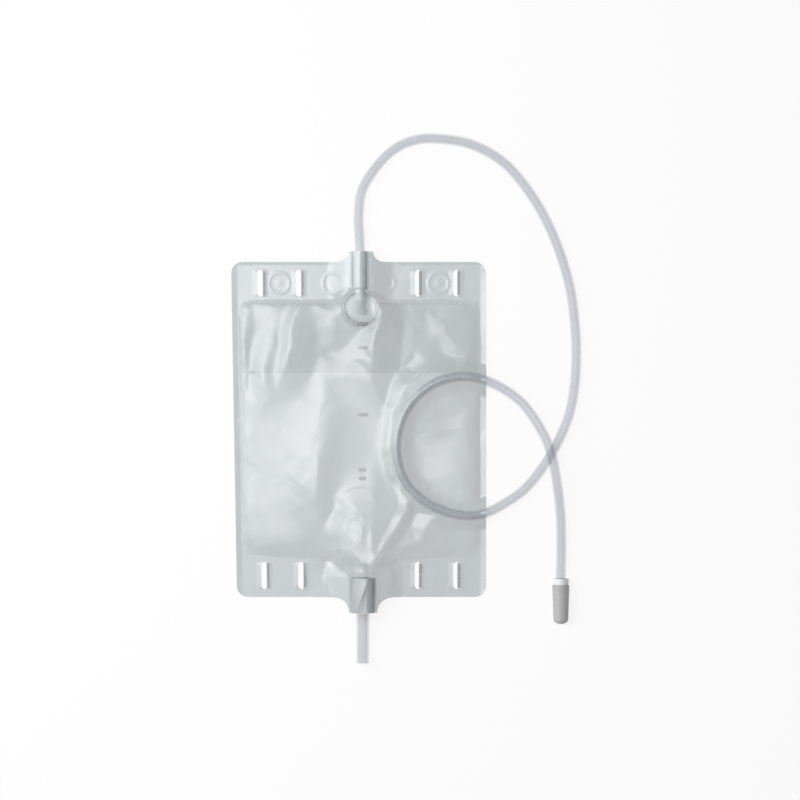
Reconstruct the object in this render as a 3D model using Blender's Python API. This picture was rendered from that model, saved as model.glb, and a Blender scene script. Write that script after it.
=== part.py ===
"""Urine drainage bag, lying on its back on a table with its inlet tube laid out beside it.

Metres. X runs across the bag, +Y towards the inlet, +Z up from the table. The origin is on the table, under
the middle of the bag with its ports.
"""

import math

import bmesh
import bpy
from mathutils import Vector
from mathutils.geometry import delaunay_2d_cdt

# Bag
BAG_WIDTH = 0.2256
BAG_LENGTH = 0.2965
CORNER_RADIUS = 0.010
FILM = 0.0003
GAP = 0.0003
HEAD_DEPTH = 0.0345
FOOT_DEPTH = 0.0380
SIDE_WELD = 0.0060
CHAMBER_CORNER = 0.0106
WELD_STEP = 0.0012
WELD_STEP_WIDTH = 0.0020
PILLOW = 0.0030
PILLOW_REACH = 0.030
FLATTENED_BY_TUBE = 0.7
STEEPEST = 2.6
LEFT_DRAWN_IN = 0.0053
DRAPE_SLACK = 0.0003
SEAM_STANDOFF = 0.0009
INNER_FILM_DROP = 0.0638

# Hanging slots and pressed rings
SLOT_WIDTH = 0.0062
SLOT_LENGTH = 0.0243
SLOT_INSETS = (0.0260, 0.0600)
SLOT_FROM_HEAD = 0.0188
SLOT_FROM_FOOT = 0.0190
RING_RADIUS = 0.0090
RING_HALF_WIDTH = 0.0018
RING_HEIGHT = 0.0005
RINGS_FROM_MIDDLE = (0.0226, 0.0705)

# Inlet
INLET_X = 0.0015
INLET_NECK_RISE = 0.0088
INLET_NECK_HALF = 0.0115
SLEEVE_RADIUS = 0.0062
SLEEVE_LENGTH = 0.0330
SLEEVE_SOCKET_DEPTH = 0.0140
SLEEVE_STOP = 0.0012
INLET_WEB = 0.030
ROOF_HALF_BASE = 0.026
ROOF_HALF_TOP = 0.0105
ROOF_RISE = 0.0125
VALVE_RADIUS = 0.0152
VALVE_HALF_HEIGHT = 0.0059
VALVE_WALL = 0.0012
VALVE_STANDOFF = 0.0010
SPIGOT_RADIUS = 0.0042
SPIGOT_BORE = 0.0030
SPIGOT_IN_SLEEVE = 0.0100
SPIGOT_INNER_END = 0.0065
LIP_LENGTH = 0.0105
LIP_HALF_WIDTH = 0.0046
LIP_WALL = 0.0008
THROAT_RADIUS = 0.0034
FLANGE = 0.0012
PLUG_LENGTH = 0.0040
WINDOW_WIDTH = 0.0050
WINDOW_HEIGHT = 0.0028

# Outlet
OUTLET_X = 0.0040
BARREL_RADIUS = 0.0110
BARREL_LENGTH = 0.0305
BARREL_BELOW_FOOT = 0.0128
BARREL_CHAMFER = 0.0006
OUTLET_WEB = 0.040
STEM_TENT_REACH = 0.024
OUTLET_FADE = 0.020
FUNNEL_HALF_TOP = 0.030
FUNNEL_DEPTH = 0.014
STEM_RADIUS = 0.00685
STEM_BORE = 0.0043
STEM_ABOVE_BARREL = 0.0354
STEM_BELOW_BARREL = 0.0093
STEM_TRAVEL = 0.0085
STEM_WINDOW_LENGTH = 0.0060
STEM_WINDOW_WIDTH = 0.0050
STEM_LAND = 0.0008
STEM_DOME = 0.5
STEM_END_SLOPE = 0.85
GROOVE_DEPTH = 0.0008
SEAL_THICKNESS = 0.0018
SEAL_FROM_BARREL_ENDS = (0.0020, 0.0060)
OUTLET_TUBE_RADIUS = 0.0055
OUTLET_TUBE_BORE = 0.0040
OUTLET_TUBE_LENGTH = 0.0434
OUTLET_TUBE_SOCKET = 0.0080
OUTLET_TUBE_CHAMFER = 0.0009

# Inlet tube, connector and cap
TUBE_RADIUS = 0.0045
TUBE_POINT_SPACING = 0.0128
TENT_CLEARANCE = 0.0009
TENT_REACH = 0.0135
SLACK_REACH = 0.030
SLACK_WRAP = 0.0012
COLLAR_RADIUS = 0.0062
COLLAR_LENGTH = 0.0053
CONNECTOR_SOCKET_DEPTH = 0.0040
NOZZLE_ROOT_RADIUS = 0.0056
NOZZLE_TIP_RADIUS = 0.0034
NOZZLE_LENGTH = 0.0290
NOZZLE_BARBS = 3
NOZZLE_BORE = 0.0021
BARB_STEP = 0.0003
NUB = (0.0020, 0.0044, 0.0030)
CAP_MOUTH_RADIUS = 0.0076
CAP_END_RADIUS = 0.00665
CAP_LENGTH = 0.0345
CAP_WALL = 0.0013
CAP_DOME = 0.6

# The tube's way from the sleeve to the connector, as (x, y, height over lying on the table)
TUBE_ROUTE = (
    (0.0008, 0.1965, 0.0020),
    (0.0002, 0.2130, 0.0006),
    (0.0030, 0.2350, 0.0),
    (0.0141, 0.2540, 0.0),
    (0.0279, 0.2690, 0.0),
    (0.0446, 0.2784, 0.0),
    (0.0659, 0.2814, 0.0),
    (0.0995, 0.2761, 0.0),
    (0.1299, 0.2586, 0.0),
    (0.1558, 0.2266, 0.0),
    (0.1742, 0.1903, 0.0),
    (0.1862, 0.1522, 0.0),
    (0.1909, 0.1199, 0.0),
    (0.1924, 0.0900, 0.0),
    (0.1905, 0.0600, 0.0),
    (0.1845, 0.0330, 0.0),
    (0.1705, 0.0030, 0.0),
    (0.1500, -0.0250, 0.0),
    (0.1290, -0.0410, 0.0),
    (0.1060, -0.0510, 0.0),
    (0.0800, -0.0490, 0.0),
    (0.0560, -0.0375, 0.0),
    (0.0400, -0.0195, 0.0),
    (0.0335, 0.0060, 0.0),
    (0.0375, 0.0315, 0.0),
    (0.0500, 0.0520, 0.0),
    (0.0700, 0.0665, 0.0),
    (0.0950, 0.0712, 0.0),
    (0.1200, 0.0645, 0.0010),
    (0.1440, 0.0480, 0.0045),
    (0.1615, 0.0230, 0.0088),
    (0.1702, 0.0010, 0.0102),
    (0.1752, -0.0250, 0.0085),
    (0.1782, -0.0510, 0.0052),
    (0.1790, -0.0780, 0.0036),
    (0.1786, -0.0980, 0.0031),
)
CONNECTOR_TOP = (0.1785, -0.1071)

# Ridges and valleys of the front film, each as (x, y, height) along its line, with flat film between them
FOLDS = (
    ((-0.1010, 0.1140, 0.0054), (-0.1030, 0.0780, 0.0050), (-0.1020, 0.0240, 0.0044), (-0.1015, -0.0500, 0.0040)),
    ((-0.0900, 0.1300, 0.0028), (-0.0975, 0.0740, 0.0024)),
    ((-0.0755, 0.1300, 0.0054), (-0.0830, 0.0920, 0.0076), (-0.0870, 0.0520, 0.0066)),
    ((-0.0660, 0.1220, 0.0044), (-0.0705, 0.0980, 0.0050), (-0.0780, 0.0760, 0.0062)),
    ((-0.0530, 0.1340, 0.0074), (-0.0625, 0.1080, 0.0104), (-0.0645, 0.0860, 0.0100), (-0.0720, 0.0600, 0.0064)),
    ((-0.0400, 0.1300, 0.0056), (-0.0360, 0.0920, 0.0026), (-0.0440, 0.0660, 0.0036)),
    ((-0.0215, 0.1260, 0.0080), (-0.0190, 0.1140, 0.0080), (-0.0140, 0.1060, 0.0066)),
    ((0.0090, 0.1130, 0.0072), (-0.0060, 0.1010, 0.0060), (-0.0300, 0.0900, 0.0032)),
    ((0.0225, 0.1280, 0.0120), (0.0160, 0.1080, 0.0138), (0.0125, 0.0840, 0.0120), (0.0050, 0.0560, 0.0074)),
    ((0.0390, 0.1300, 0.0030), (0.0400, 0.1000, 0.0020), (0.0330, 0.0720, 0.0040)),
    ((0.0600, 0.1300, 0.0034), (0.0860, 0.0980, 0.0046)),
    ((-0.0660, 0.0440, 0.0054), (-0.0690, -0.0050, 0.0054), (-0.0530, -0.0600, 0.0044)),
    ((-0.0330, 0.0480, 0.0084), (-0.0385, 0.0180, 0.0124), (-0.0400, -0.0300, 0.0126), (-0.0250, -0.0740, 0.0084)),
    ((-0.0140, 0.0420, 0.0066), (-0.0220, -0.0050, 0.0064), (-0.0190, -0.0800, 0.0076)),
    ((0.0060, 0.0320, 0.0080), (0.0060, -0.0240, 0.0080)),
    ((-0.0080, -0.0300, 0.0066), (-0.0115, -0.0680, 0.0142), (-0.0090, -0.0820, 0.0178)),
    ((0.0270, -0.0240, 0.0088), (0.0410, -0.0380, 0.0108), (0.0295, -0.0640, 0.0160), (0.0175, -0.0870, 0.0216)),
    ((0.0260, -0.0500, 0.0086), (0.0185, -0.0790, 0.0168)),
    ((0.0470, -0.0500, 0.0074), (0.0350, -0.0740, 0.0114)),
    ((0.0730, -0.0780, 0.0048), (0.0840, -0.0600, 0.0050)),
    ((0.1010, 0.0580, 0.0038), (0.1010, -0.0380, 0.0050)),
    ((0.0490, 0.0300, 0.0076), (0.0960, 0.0420, 0.0050)),
    ((0.0480, 0.0150, 0.0048), (0.0960, 0.0280, 0.0036)),
)
SHOULDER = 0.0022

# Fineness
GRID_STEP = 0.0145
EDGE_STEP = 0.012
FOLD_STEP = 0.018
LINE_CLEARANCE = 0.0042
ROUND_SIDES = 24
BOLD_ROUND_SIDES = 32
SEAL_SIDES = 8
SMOOTH_ANGLE = math.radians(35)
BARELY = 1e-6

# Where the films' mesh has lines over the tube, the stem and the valve, as shares of each one's radius
TUBE_LINES = (-0.67, 0.0, 0.67)
STEM_LINES = (-0.95, -0.5, 0.0, 0.5, 0.95)
VALVE_LINES = (0.55, 0.8, 0.93, 1.03, 1.22)

# Places worked out from the sizes
OUTLET_REACH = BARREL_BELOW_FOOT + STEM_BELOW_BARREL + OUTLET_TUBE_LENGTH - OUTLET_TUBE_SOCKET
FOOT_Y = OUTLET_REACH - (BAG_LENGTH + INLET_NECK_RISE + OUTLET_REACH) / 2
HEAD_Y = FOOT_Y + BAG_LENGTH
NECK_TOP_Y = HEAD_Y + INLET_NECK_RISE
BARREL_END_Y = FOOT_Y - BARREL_BELOW_FOOT
BARREL_TOP_Y = BARREL_END_Y + BARREL_LENGTH
CHAMBER_TOP_Y = HEAD_Y - HEAD_DEPTH
CHAMBER_FOOT_Y = FOOT_Y + FOOT_DEPTH
CHAMBER_HALF = BAG_WIDTH / 2 - SIDE_WELD
INNER_FILM_Y = CHAMBER_TOP_Y - INNER_FILM_DROP
SLEEVE_END_Y = NECK_TOP_Y - SLEEVE_LENGTH
VALVE_Y = SLEEVE_END_Y - GAP - VALVE_RADIUS - VALVE_STANDOFF
SEAM = FILM + GAP
WRAP_CLEARANCE = FILM / 2 + GAP + DRAPE_SLACK
SLEEVE_WRAP = SLEEVE_RADIUS + WRAP_CLEARANCE
BARREL_WRAP = BARREL_RADIUS + WRAP_CLEARANCE
SEAL_OUTSIDE = STEM_RADIUS - GROOVE_DEPTH + GAP + SEAL_THICKNESS
STEM_WRAP = SEAL_OUTSIDE + WRAP_CLEARANCE
TUBE_WRAP = TUBE_RADIUS + TENT_CLEARANCE
SLEEVE_AXIS = SLEEVE_WRAP + FILM / 2
BARREL_AXIS = BARREL_WRAP + FILM / 2
SLEEVE_SEAM = SLEEVE_WRAP + SEAM_STANDOFF
BARREL_SEAM = BARREL_WRAP + SEAM_STANDOFF
BARREL_BORE = SEAL_OUTSIDE + GAP
STEM_TOP_Y = BARREL_TOP_Y + STEM_ABOVE_BARREL
STEM_END_Y = BARREL_END_Y - STEM_BELOW_BARREL
GRIP_ANGLE = math.radians(75)


# Shapes of any piece

def material(name, colour, roughness, alpha=1.0):
    made = bpy.data.materials.new(name)
    made.use_nodes = True
    shader = made.node_tree.nodes["Principled BSDF"]
    shader.inputs["Base Color"].default_value = (*colour, 1)
    shader.inputs["Roughness"].default_value = roughness
    shader.inputs["Metallic"].default_value = 0
    shader.inputs["Alpha"].default_value = alpha
    return made


def add_mesh(name, bm, finish, smooth=True):
    bmesh.ops.recalc_face_normals(bm, faces=bm.faces)
    mesh = bpy.data.meshes.new(name)
    bm.to_mesh(mesh)
    bm.free()
    if smooth:
        mesh.shade_smooth()
        mesh.set_sharp_from_angle(angle=SMOOTH_ANGLE)
    made = bpy.data.objects.new(name, mesh)
    bpy.context.scene.collection.objects.link(made)
    if finish:
        mesh.materials.append(finish)
    return made


def turned(name, profile, finish=None, closed=False, sides=ROUND_SIDES):
    """A solid turned about local Z from a section of (radius, along) points. A closed section makes a ring."""
    bm = bmesh.new()
    points = [bm.verts.new((radius, 0, along)) for radius, along in profile]
    pairs = list(zip(points, points[1:]))
    if closed:
        pairs.append((points[-1], points[0]))
    edges = [bm.edges.new(pair) for pair in pairs]
    bmesh.ops.spin(bm, geom=points + edges, cent=(0, 0, 0), axis=(0, 0, 1), angle=math.tau, steps=sides,
                   use_merge=True)
    bmesh.ops.remove_doubles(bm, verts=bm.verts, dist=1e-6)
    return add_mesh(name, bm, finish)


def block(name, size):
    bm = bmesh.new()
    bmesh.ops.create_cube(bm, size=1)
    bmesh.ops.scale(bm, verts=bm.verts, vec=size)
    return add_mesh(name, bm, None, smooth=False)


def combine(target, helper, operation):
    """Cuts the helper out of the target or joins it on, and leaves the helper as a hidden guide."""
    change = target.modifiers.new(helper.name, "BOOLEAN")
    change.operation = operation
    change.object = helper
    helper.hide_render = True
    helper.display_type = "WIRE"


def lay_along_y(piece, x, y, z):
    """Puts a turned piece on an axis that runs along +Y, with its local zero at y."""
    piece.rotation_euler = (-math.pi / 2, 0, 0)
    piece.location = (x, y, z)


def rounded(radius, height, power=4, steps=7):
    """Points of a quarter section with rounded shoulders, from the axis at the top to the rim."""
    angles = [math.pi / 2 * i / steps for i in range(steps + 1)]
    shape = 2 / power
    return [(radius * math.sin(a) ** shape, height * max(0.0, math.cos(a)) ** shape) for a in angles]


# Plan of the films

def arc(x, y, radius, start, end, steps=6):
    turn = [math.radians(start + (end - start) * i / steps) for i in range(steps + 1)]
    return [(x + radius * math.cos(a), y + radius * math.sin(a)) for a in turn]


def divided(points, step, closed=True):
    """The same line with its long stretches cut into parts no longer than step."""
    ends = points[1:] + points[:1] if closed else points[1:]
    result = []
    for start, end in zip(points, ends):
        parts = max(1, math.ceil(math.dist(start, end) / step))
        result += [tuple(a + (b - a) * i / parts for a, b in zip(start, end)) for i in range(parts)]
    return result if closed else result + [points[-1]]


def wrap_offsets(radius, seam):
    """Distances from a port's axis at which the film has points: round the port, then at its seam."""
    held = [radius * math.sin(GRIP_ANGLE * i / 3) for i in range(1, 4)] + [seam]
    return [-d for d in reversed(held)] + [0.0] + held


def bag_outline():
    half = BAG_WIDTH / 2
    r = CORNER_RADIUS
    wide = BARREL_SEAM + BARREL_BELOW_FOOT
    narrow = INLET_NECK_HALF + INLET_NECK_RISE
    foot_neck = [(OUTLET_X + d, BARREL_END_Y) for d in wrap_offsets(BARREL_WRAP, BARREL_SEAM)]
    head_neck = [(INLET_X - d, NECK_TOP_Y) for d in wrap_offsets(SLEEVE_WRAP, SLEEVE_SEAM)]
    loop = arc(OUTLET_X - wide, BARREL_END_Y, BARREL_BELOW_FOOT, 90, 15, 5) + foot_neck
    loop += arc(OUTLET_X + wide, BARREL_END_Y, BARREL_BELOW_FOOT, 165, 90, 5)
    loop += arc(half - r, FOOT_Y + r, r, -90, 0) + arc(half - r, HEAD_Y - r, r, 0, 90)
    loop += arc(INLET_X + narrow, NECK_TOP_Y, INLET_NECK_RISE, 270, 180, 5) + head_neck
    loop += arc(INLET_X - narrow, NECK_TOP_Y, INLET_NECK_RISE, 0, -90, 5)
    loop += arc(r - half, HEAD_Y - r, r, 90, 180) + arc(r - half, FOOT_Y + r, r, 180, 270)
    return divided(loop, EDGE_STEP)


def slot_places():
    for y in (HEAD_Y - SLOT_FROM_HEAD, FOOT_Y + SLOT_FROM_FOOT):
        for inset in SLOT_INSETS:
            for side in (-1, 1):
                yield side * (BAG_WIDTH / 2 - inset), y


def slot_outline(x, y):
    r = SLOT_WIDTH / 2
    straight = SLOT_LENGTH / 2 - r
    return divided(arc(x, y + straight, r, 0, 180, 4) + arc(x, y - straight, r, 180, 360, 4), EDGE_STEP)


def chamber_outline():
    half = CHAMBER_HALF
    r = CHAMBER_CORNER
    funnel_foot = BARREL_TOP_Y
    loop = [(OUTLET_X - BARREL_SEAM, funnel_foot), (OUTLET_X + BARREL_SEAM, funnel_foot)]
    loop += [(OUTLET_X + FUNNEL_HALF_TOP, funnel_foot + FUNNEL_DEPTH)]
    loop += arc(half - r, CHAMBER_FOOT_Y + r, r, -90, 0, 4) + arc(half - r, CHAMBER_TOP_Y - r, r, 0, 90, 4)
    loop += [(INLET_X + ROOF_HALF_BASE, CHAMBER_TOP_Y), (INLET_X + ROOF_HALF_TOP, CHAMBER_TOP_Y + ROOF_RISE)]
    loop += [(INLET_X - ROOF_HALF_TOP, CHAMBER_TOP_Y + ROOF_RISE), (INLET_X - ROOF_HALF_BASE, CHAMBER_TOP_Y)]
    loop += arc(r - half, CHAMBER_TOP_Y - r, r, 90, 180, 4) + arc(r - half, CHAMBER_FOOT_Y + r, r, 180, 270, 4)
    loop += [(OUTLET_X - FUNNEL_HALF_TOP, funnel_foot + FUNNEL_DEPTH)]
    return divided(loop, EDGE_STEP)


def inner_film_outline():
    half = CHAMBER_HALF - WELD_STEP_WIDTH
    top = CHAMBER_TOP_Y - WELD_STEP_WIDTH
    r = CHAMBER_CORNER
    loop = [(-half, INNER_FILM_Y), (half, INNER_FILM_Y)]
    loop += arc(half - r, top - r, r, 0, 90, 4) + arc(r - half, top - r, r, 90, 180, 4)
    return divided(loop, EDGE_STEP)


def distance_to_line(x, y, points):
    best = math.inf
    for (x1, y1), (x2, y2) in zip(points, points[1:]):
        dx = x2 - x1
        dy = y2 - y1
        square = dx * dx + dy * dy
        part = min(1.0, max(0.0, ((x - x1) * dx + (y - y1) * dy) / square)) if square else 0.0
        best = min(best, math.hypot(x - x1 - part * dx, y - y1 - part * dy))
    return best


def is_inside(x, y, loop):
    crossings = 0
    for (x1, y1), (x2, y2) in zip(loop, loop[1:] + loop[:1]):
        if (y1 > y) != (y2 > y) and x < x1 + (y - y1) / (y2 - y1) * (x2 - x1):
            crossings += 1
    return crossings % 2 == 1


def shifted(points, offset):
    """A line beside the given one, offset to its left."""
    result = []
    for i, (x, y) in enumerate(points):
        before = points[max(i - 1, 0)]
        after = points[min(i + 1, len(points) - 1)]
        run = math.hypot(after[0] - before[0], after[1] - before[1])
        result.append((x - offset * (after[1] - before[1]) / run, y + offset * (after[0] - before[0]) / run))
    return result


# The tube's path

def smooth_path(points, spacing):
    """Points about one spacing apart along a Catmull-Rom curve through the given ones."""
    ends = [2 * points[0] - points[1], *points, 2 * points[-1] - points[-2]]
    fine = []
    for a, b, c, d in zip(ends, ends[1:], ends[2:], ends[3:]):
        for i in range(24):
            t = i / 24
            fine.append(0.5 * (2 * b + (c - a) * t + (2 * a - 5 * b + 4 * c - d) * t * t
                               + (3 * b - a - 3 * c + d) * t ** 3))
    fine.append(points[-1])
    travelled = [0.0]
    for a, b in zip(fine, fine[1:]):
        travelled.append(travelled[-1] + (b - a).length)
    count = round(travelled[-1] / spacing)
    result = []
    i = 0
    for k in range(count + 1):
        wanted = travelled[-1] * k / count
        while i < len(fine) - 2 and travelled[i + 1] < wanted:
            i += 1
        part = (wanted - travelled[i]) / (travelled[i + 1] - travelled[i])
        result.append(fine[i].lerp(fine[i + 1], part))
    return result


def tube_path():
    socket_floor = NECK_TOP_Y - SLEEVE_SOCKET_DEPTH + GAP
    connector_y = CONNECTOR_TOP[1] - CONNECTOR_SOCKET_DEPTH + GAP
    points = [Vector((INLET_X, socket_floor, SLEEVE_AXIS)), Vector((INLET_X, NECK_TOP_Y, SLEEVE_AXIS))]
    points += [Vector((x, y, TUBE_RADIUS + height)) for x, y, height in TUBE_ROUTE]
    points += [Vector((CONNECTOR_TOP[0], CONNECTOR_TOP[1], CAP_MOUTH_RADIUS)),
               Vector((CONNECTOR_TOP[0], connector_y, CAP_MOUTH_RADIUS))]
    return smooth_path(points, TUBE_POINT_SPACING)


def loop_under_bag(path):
    """The stretch of the tube that the bag lies on, in plan, with a little more at each end."""
    edge = BAG_WIDTH / 2 + TENT_REACH
    return [(p.x, p.y) for p in path if p.x < edge and p.y < INNER_FILM_Y + TENT_REACH]


# Heights of the films over the table

def tent(distance, radius, axis, reach):
    """Height of a taut sheet over a round bar, at a distance from the bar's axis."""
    lean = math.acos(radius / math.hypot(reach, axis)) - math.atan2(axis, reach)
    touch = radius * math.cos(lean)
    if distance <= touch:
        return axis + math.sqrt(radius ** 2 - distance ** 2)
    return max(0.0, reach - distance) / (reach - touch) * (axis + radius * math.sin(lean))


def ease(value):
    value = min(1.0, max(0.0, value))
    return value * value * (3 - 2 * value)


def wrap(distance, radius, seam):
    """Half the distance between two films that are welded round a port."""
    grip = radius * math.sin(GRIP_ANGLE)
    if distance <= grip:
        return math.sqrt(radius ** 2 - distance ** 2)
    return max(0.0, seam - distance) / (seam - grip) * radius * math.cos(GRIP_ANGLE)


def web(distance, axis, seam, reach):
    """Height of the welded films beside a port, from its seam down to the table."""
    return axis * (1 - ease((distance - seam) / (reach - seam)))


def folded_faces(chamber):
    """The flat faces of film between the folds and the chamber's weld, each as three (x, y, height) corners."""
    spots = [(x, y, SHOULDER) for x, y in chamber]
    for fold in FOLDS:
        spots += divided(fold, EDGE_STEP, closed=False)
    flat, _, faces, origins, *_ = delaunay_2d_cdt([Vector(spot[:2]) for spot in spots], [], [], 0, 1e-6)
    corners = [(place.x, place.y, spots[origin[0]][2]) for place, origin in zip(flat, origins)]
    return [[corners[i] for i in face] for face in faces]


def fold_height(x, y, faces):
    """Height of the folded film where it is flat between its ridges and valleys."""
    for (ax, ay, az), (bx, by, bz), (cx, cy, cz) in faces:
        whole = (by - cy) * (ax - cx) + (cx - bx) * (ay - cy)
        a = ((by - cy) * (x - cx) + (cx - bx) * (y - cy)) / whole
        b = ((cy - ay) * (x - cx) + (ax - cx) * (y - cy)) / whole
        if min(a, b, 1 - a - b) > -BARELY:
            return a * az + b * bz + (1 - a - b) * cz
    return SHOULDER


class Drape:
    """Where the films lie, worked out from the ports, the valve, the tube below them and the folds."""

    def __init__(self, path):
        self.loop = loop_under_bag(path)
        self.chamber = chamber_outline()
        self.folded = folded_faces(self.chamber)

    def back(self, x, y):
        """Middle of the back film's thickness."""
        height = tent(distance_to_line(x, y, self.loop), TUBE_WRAP, TUBE_RADIUS, TENT_REACH)
        side = abs(x - OUTLET_X)
        rise = web(side, BARREL_AXIS - FILM / 2, BARREL_SEAM, OUTLET_WEB)
        rise -= wrap(side, BARREL_WRAP, BARREL_SEAM)
        height = max(height, rise * self.outlet_share(y))
        side = abs(x - INLET_X)
        rise = web(side, SLEEVE_AXIS - FILM / 2, SLEEVE_SEAM, INLET_WEB)
        rise -= wrap(side, SLEEVE_WRAP, SLEEVE_SEAM)
        height = max(height, rise * self.inlet_share(y))
        away = math.hypot(x - INLET_X, y - VALVE_Y) - VALVE_RADIUS - TENT_CLEARANCE
        height = min(height, STEEPEST * max(0.0, away))
        return FILM / 2 + height

    def outlet_share(self, y):
        return 1 - ease((y - BARREL_TOP_Y) / OUTLET_FADE)

    def inlet_share(self, y):
        return 1 - ease((SLEEVE_END_Y - y) / VALVE_RADIUS)

    def room(self, x, y, back):
        """How far the front film lies above a sheet welded to the back film."""
        outlet = 2 * wrap(abs(x - OUTLET_X), BARREL_WRAP, BARREL_SEAM) * self.outlet_share(y)
        inlet = 2 * wrap(abs(x - INLET_X), SLEEVE_WRAP, SLEEVE_SEAM) * self.inlet_share(y)
        held = max(outlet, inlet)
        if not is_inside(x, y, self.chamber):
            return held + self.ring(x, y)
        from_weld = distance_to_line(x, y, self.chamber + self.chamber[:1])
        near_tube = math.exp(-(distance_to_line(x, y, self.loop) / TENT_REACH) ** 2)
        plump = PILLOW * (1 - math.exp(-from_weld / PILLOW_REACH)) * (1 - FLATTENED_BY_TUBE * near_tube)
        free = WELD_STEP * min(1.0, from_weld / WELD_STEP_WIDTH) + plump
        folded = fold_height(x, y, self.folded)
        lifted = max(self.over_stem(x, y), self.over_valve(x, y), self.over_tube(x, y), folded)
        free = max(free, lifted - back)
        return max(held, min(free, held + STEEPEST * from_weld))

    def over_stem(self, x, y):
        """The front film over the stem, with room for the stem and its upper seal to be pushed in."""
        end = STEM_TOP_Y + STEM_TRAVEL
        past = max(0.0, y - end)
        top = tent(abs(x - OUTLET_X), STEM_WRAP, BARREL_AXIS, STEM_TENT_REACH)
        return max(0.0, top - STEM_END_SLOPE * past)

    def over_tube(self, x, y):
        """The front film is slack over the tube, more so outside the loop."""
        reach = TENT_REACH if is_inside(x, y, self.loop) else SLACK_REACH
        return tent(distance_to_line(x, y, self.loop), TUBE_WRAP + SLACK_WRAP, TUBE_RADIUS, reach)

    def over_valve(self, x, y):
        past_rim = math.hypot(x - INLET_X, y - VALVE_Y) - VALVE_RADIUS - TENT_CLEARANCE
        if past_rim > 0:
            return SLEEVE_AXIS - STEEPEST * past_rim
        share = 1 + past_rim / (VALVE_RADIUS + TENT_CLEARANCE)
        return SLEEVE_AXIS + (VALVE_HALF_HEIGHT + TENT_CLEARANCE) * (1 - share ** 4) ** 0.25

    def ring(self, x, y):
        """Height of the pressed rings over the head."""
        best = 0.0
        for from_middle in RINGS_FROM_MIDDLE:
            away = math.hypot(abs(x) - from_middle, y - HEAD_Y + SLOT_FROM_HEAD)
            best = max(best, RING_HEIGHT * (1 - abs(away - RING_RADIUS) / RING_HALF_WIDTH))
        return best

    def inner(self, x, y):
        return self.back(x, y) + SEAM

    def front(self, x, y):
        back = self.back(x, y)
        return back + SEAM + self.room(x, y, back)


def plan_lines(path, drape):
    """Lines that the films' mesh has to follow: each as (points, whether it closes)."""
    lines = [(bag_outline(), True), (drape.chamber, True), (inner_film_outline(), True)]
    lines += [(slot_outline(x, y), True) for x, y in slot_places()]
    for from_middle in RINGS_FROM_MIDDLE:
        for side in (-1, 1):
            for radius in (RING_RADIUS - RING_HALF_WIDTH, RING_RADIUS, RING_RADIUS + RING_HALF_WIDTH):
                centre = (side * from_middle, HEAD_Y - SLOT_FROM_HEAD)
                lines.append((arc(*centre, radius, 0, 337.5, 15), True))
    for offset in [share * TUBE_WRAP for share in TUBE_LINES] + [-TENT_REACH, TENT_REACH]:
        lines.append((shifted(drape.loop, offset), False))
    for d in wrap_offsets(BARREL_WRAP, BARREL_SEAM):
        run = [(OUTLET_X + d, BARREL_END_Y), (OUTLET_X + d, BARREL_TOP_Y)]
        lines.append((divided(run, EDGE_STEP, closed=False), False))
    for d in wrap_offsets(SLEEVE_WRAP, SLEEVE_SEAM):
        run = [(INLET_X + d, NECK_TOP_Y), (INLET_X + d, SLEEVE_END_Y)]
        lines.append((divided(run, EDGE_STEP, closed=False), False))
    for share in STEM_LINES:
        x = OUTLET_X + share * STEM_WRAP
        run = [(x, BARREL_TOP_Y + EDGE_STEP / 2), (x, STEM_TOP_Y + STEM_TRAVEL)]
        lines.append((divided(run, EDGE_STEP, closed=False), False))
    for share in VALVE_LINES:
        lines.append((arc(INLET_X, VALVE_Y, share * VALVE_RADIUS, 0, 342, 19), True))
    for fold in FOLDS:
        lines.append((divided([(x, y) for x, y, _ in fold], FOLD_STEP, closed=False), False))
    return lines


def film_plan(path, drape):
    """Triangles in plan that follow every line, with an even spread of points between the lines."""
    points = []
    edges = []
    lines = plan_lines(path, drape)
    for line, closed in lines:
        first = len(points)
        points += line
        edges += [(first + i, first + i + 1) for i in range(len(line) - 1)]
        if closed:
            edges.append((len(points) - 1, first))
    outline = lines[0][0]
    looped = [line + line[:1] if closed else line for line, closed in lines]
    rows = round(BAG_LENGTH / (GRID_STEP * math.sin(math.pi / 3)))
    columns = round(BAG_WIDTH / GRID_STEP)
    for row in range(1, rows):
        for column in range(columns):
            x = -BAG_WIDTH / 2 + BAG_WIDTH * (column + 0.25 + 0.5 * (row % 2)) / columns
            y = FOOT_Y + BAG_LENGTH * row / rows
            clear = min(distance_to_line(x, y, line) for line in looped) > LINE_CLEARANCE
            if clear and is_inside(x, y, outline):
                points.append((x, y))
    flat, _, faces, *_ = delaunay_2d_cdt([Vector(p) for p in points], edges, [], 0, 1e-6)
    slots = [slot_outline(x, y) for x, y in slot_places()]
    kept = []
    for face in faces:
        x = sum(flat[i].x for i in face) / 3
        y = sum(flat[i].y for i in face) / 3
        if is_inside(x, y, outline) and not any(is_inside(x, y, slot) for slot in slots):
            kept.append(face)
    return [(p.x, p.y) for p in flat], kept


def drawn_in(x, y):
    """The left edge is drawn in towards the foot, where the film is gathered."""
    share = max(0.0, -x) / (BAG_WIDTH / 2) * (HEAD_Y - y) / BAG_LENGTH
    return x + LEFT_DRAWN_IN * min(1.0, max(0.0, share))


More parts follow.
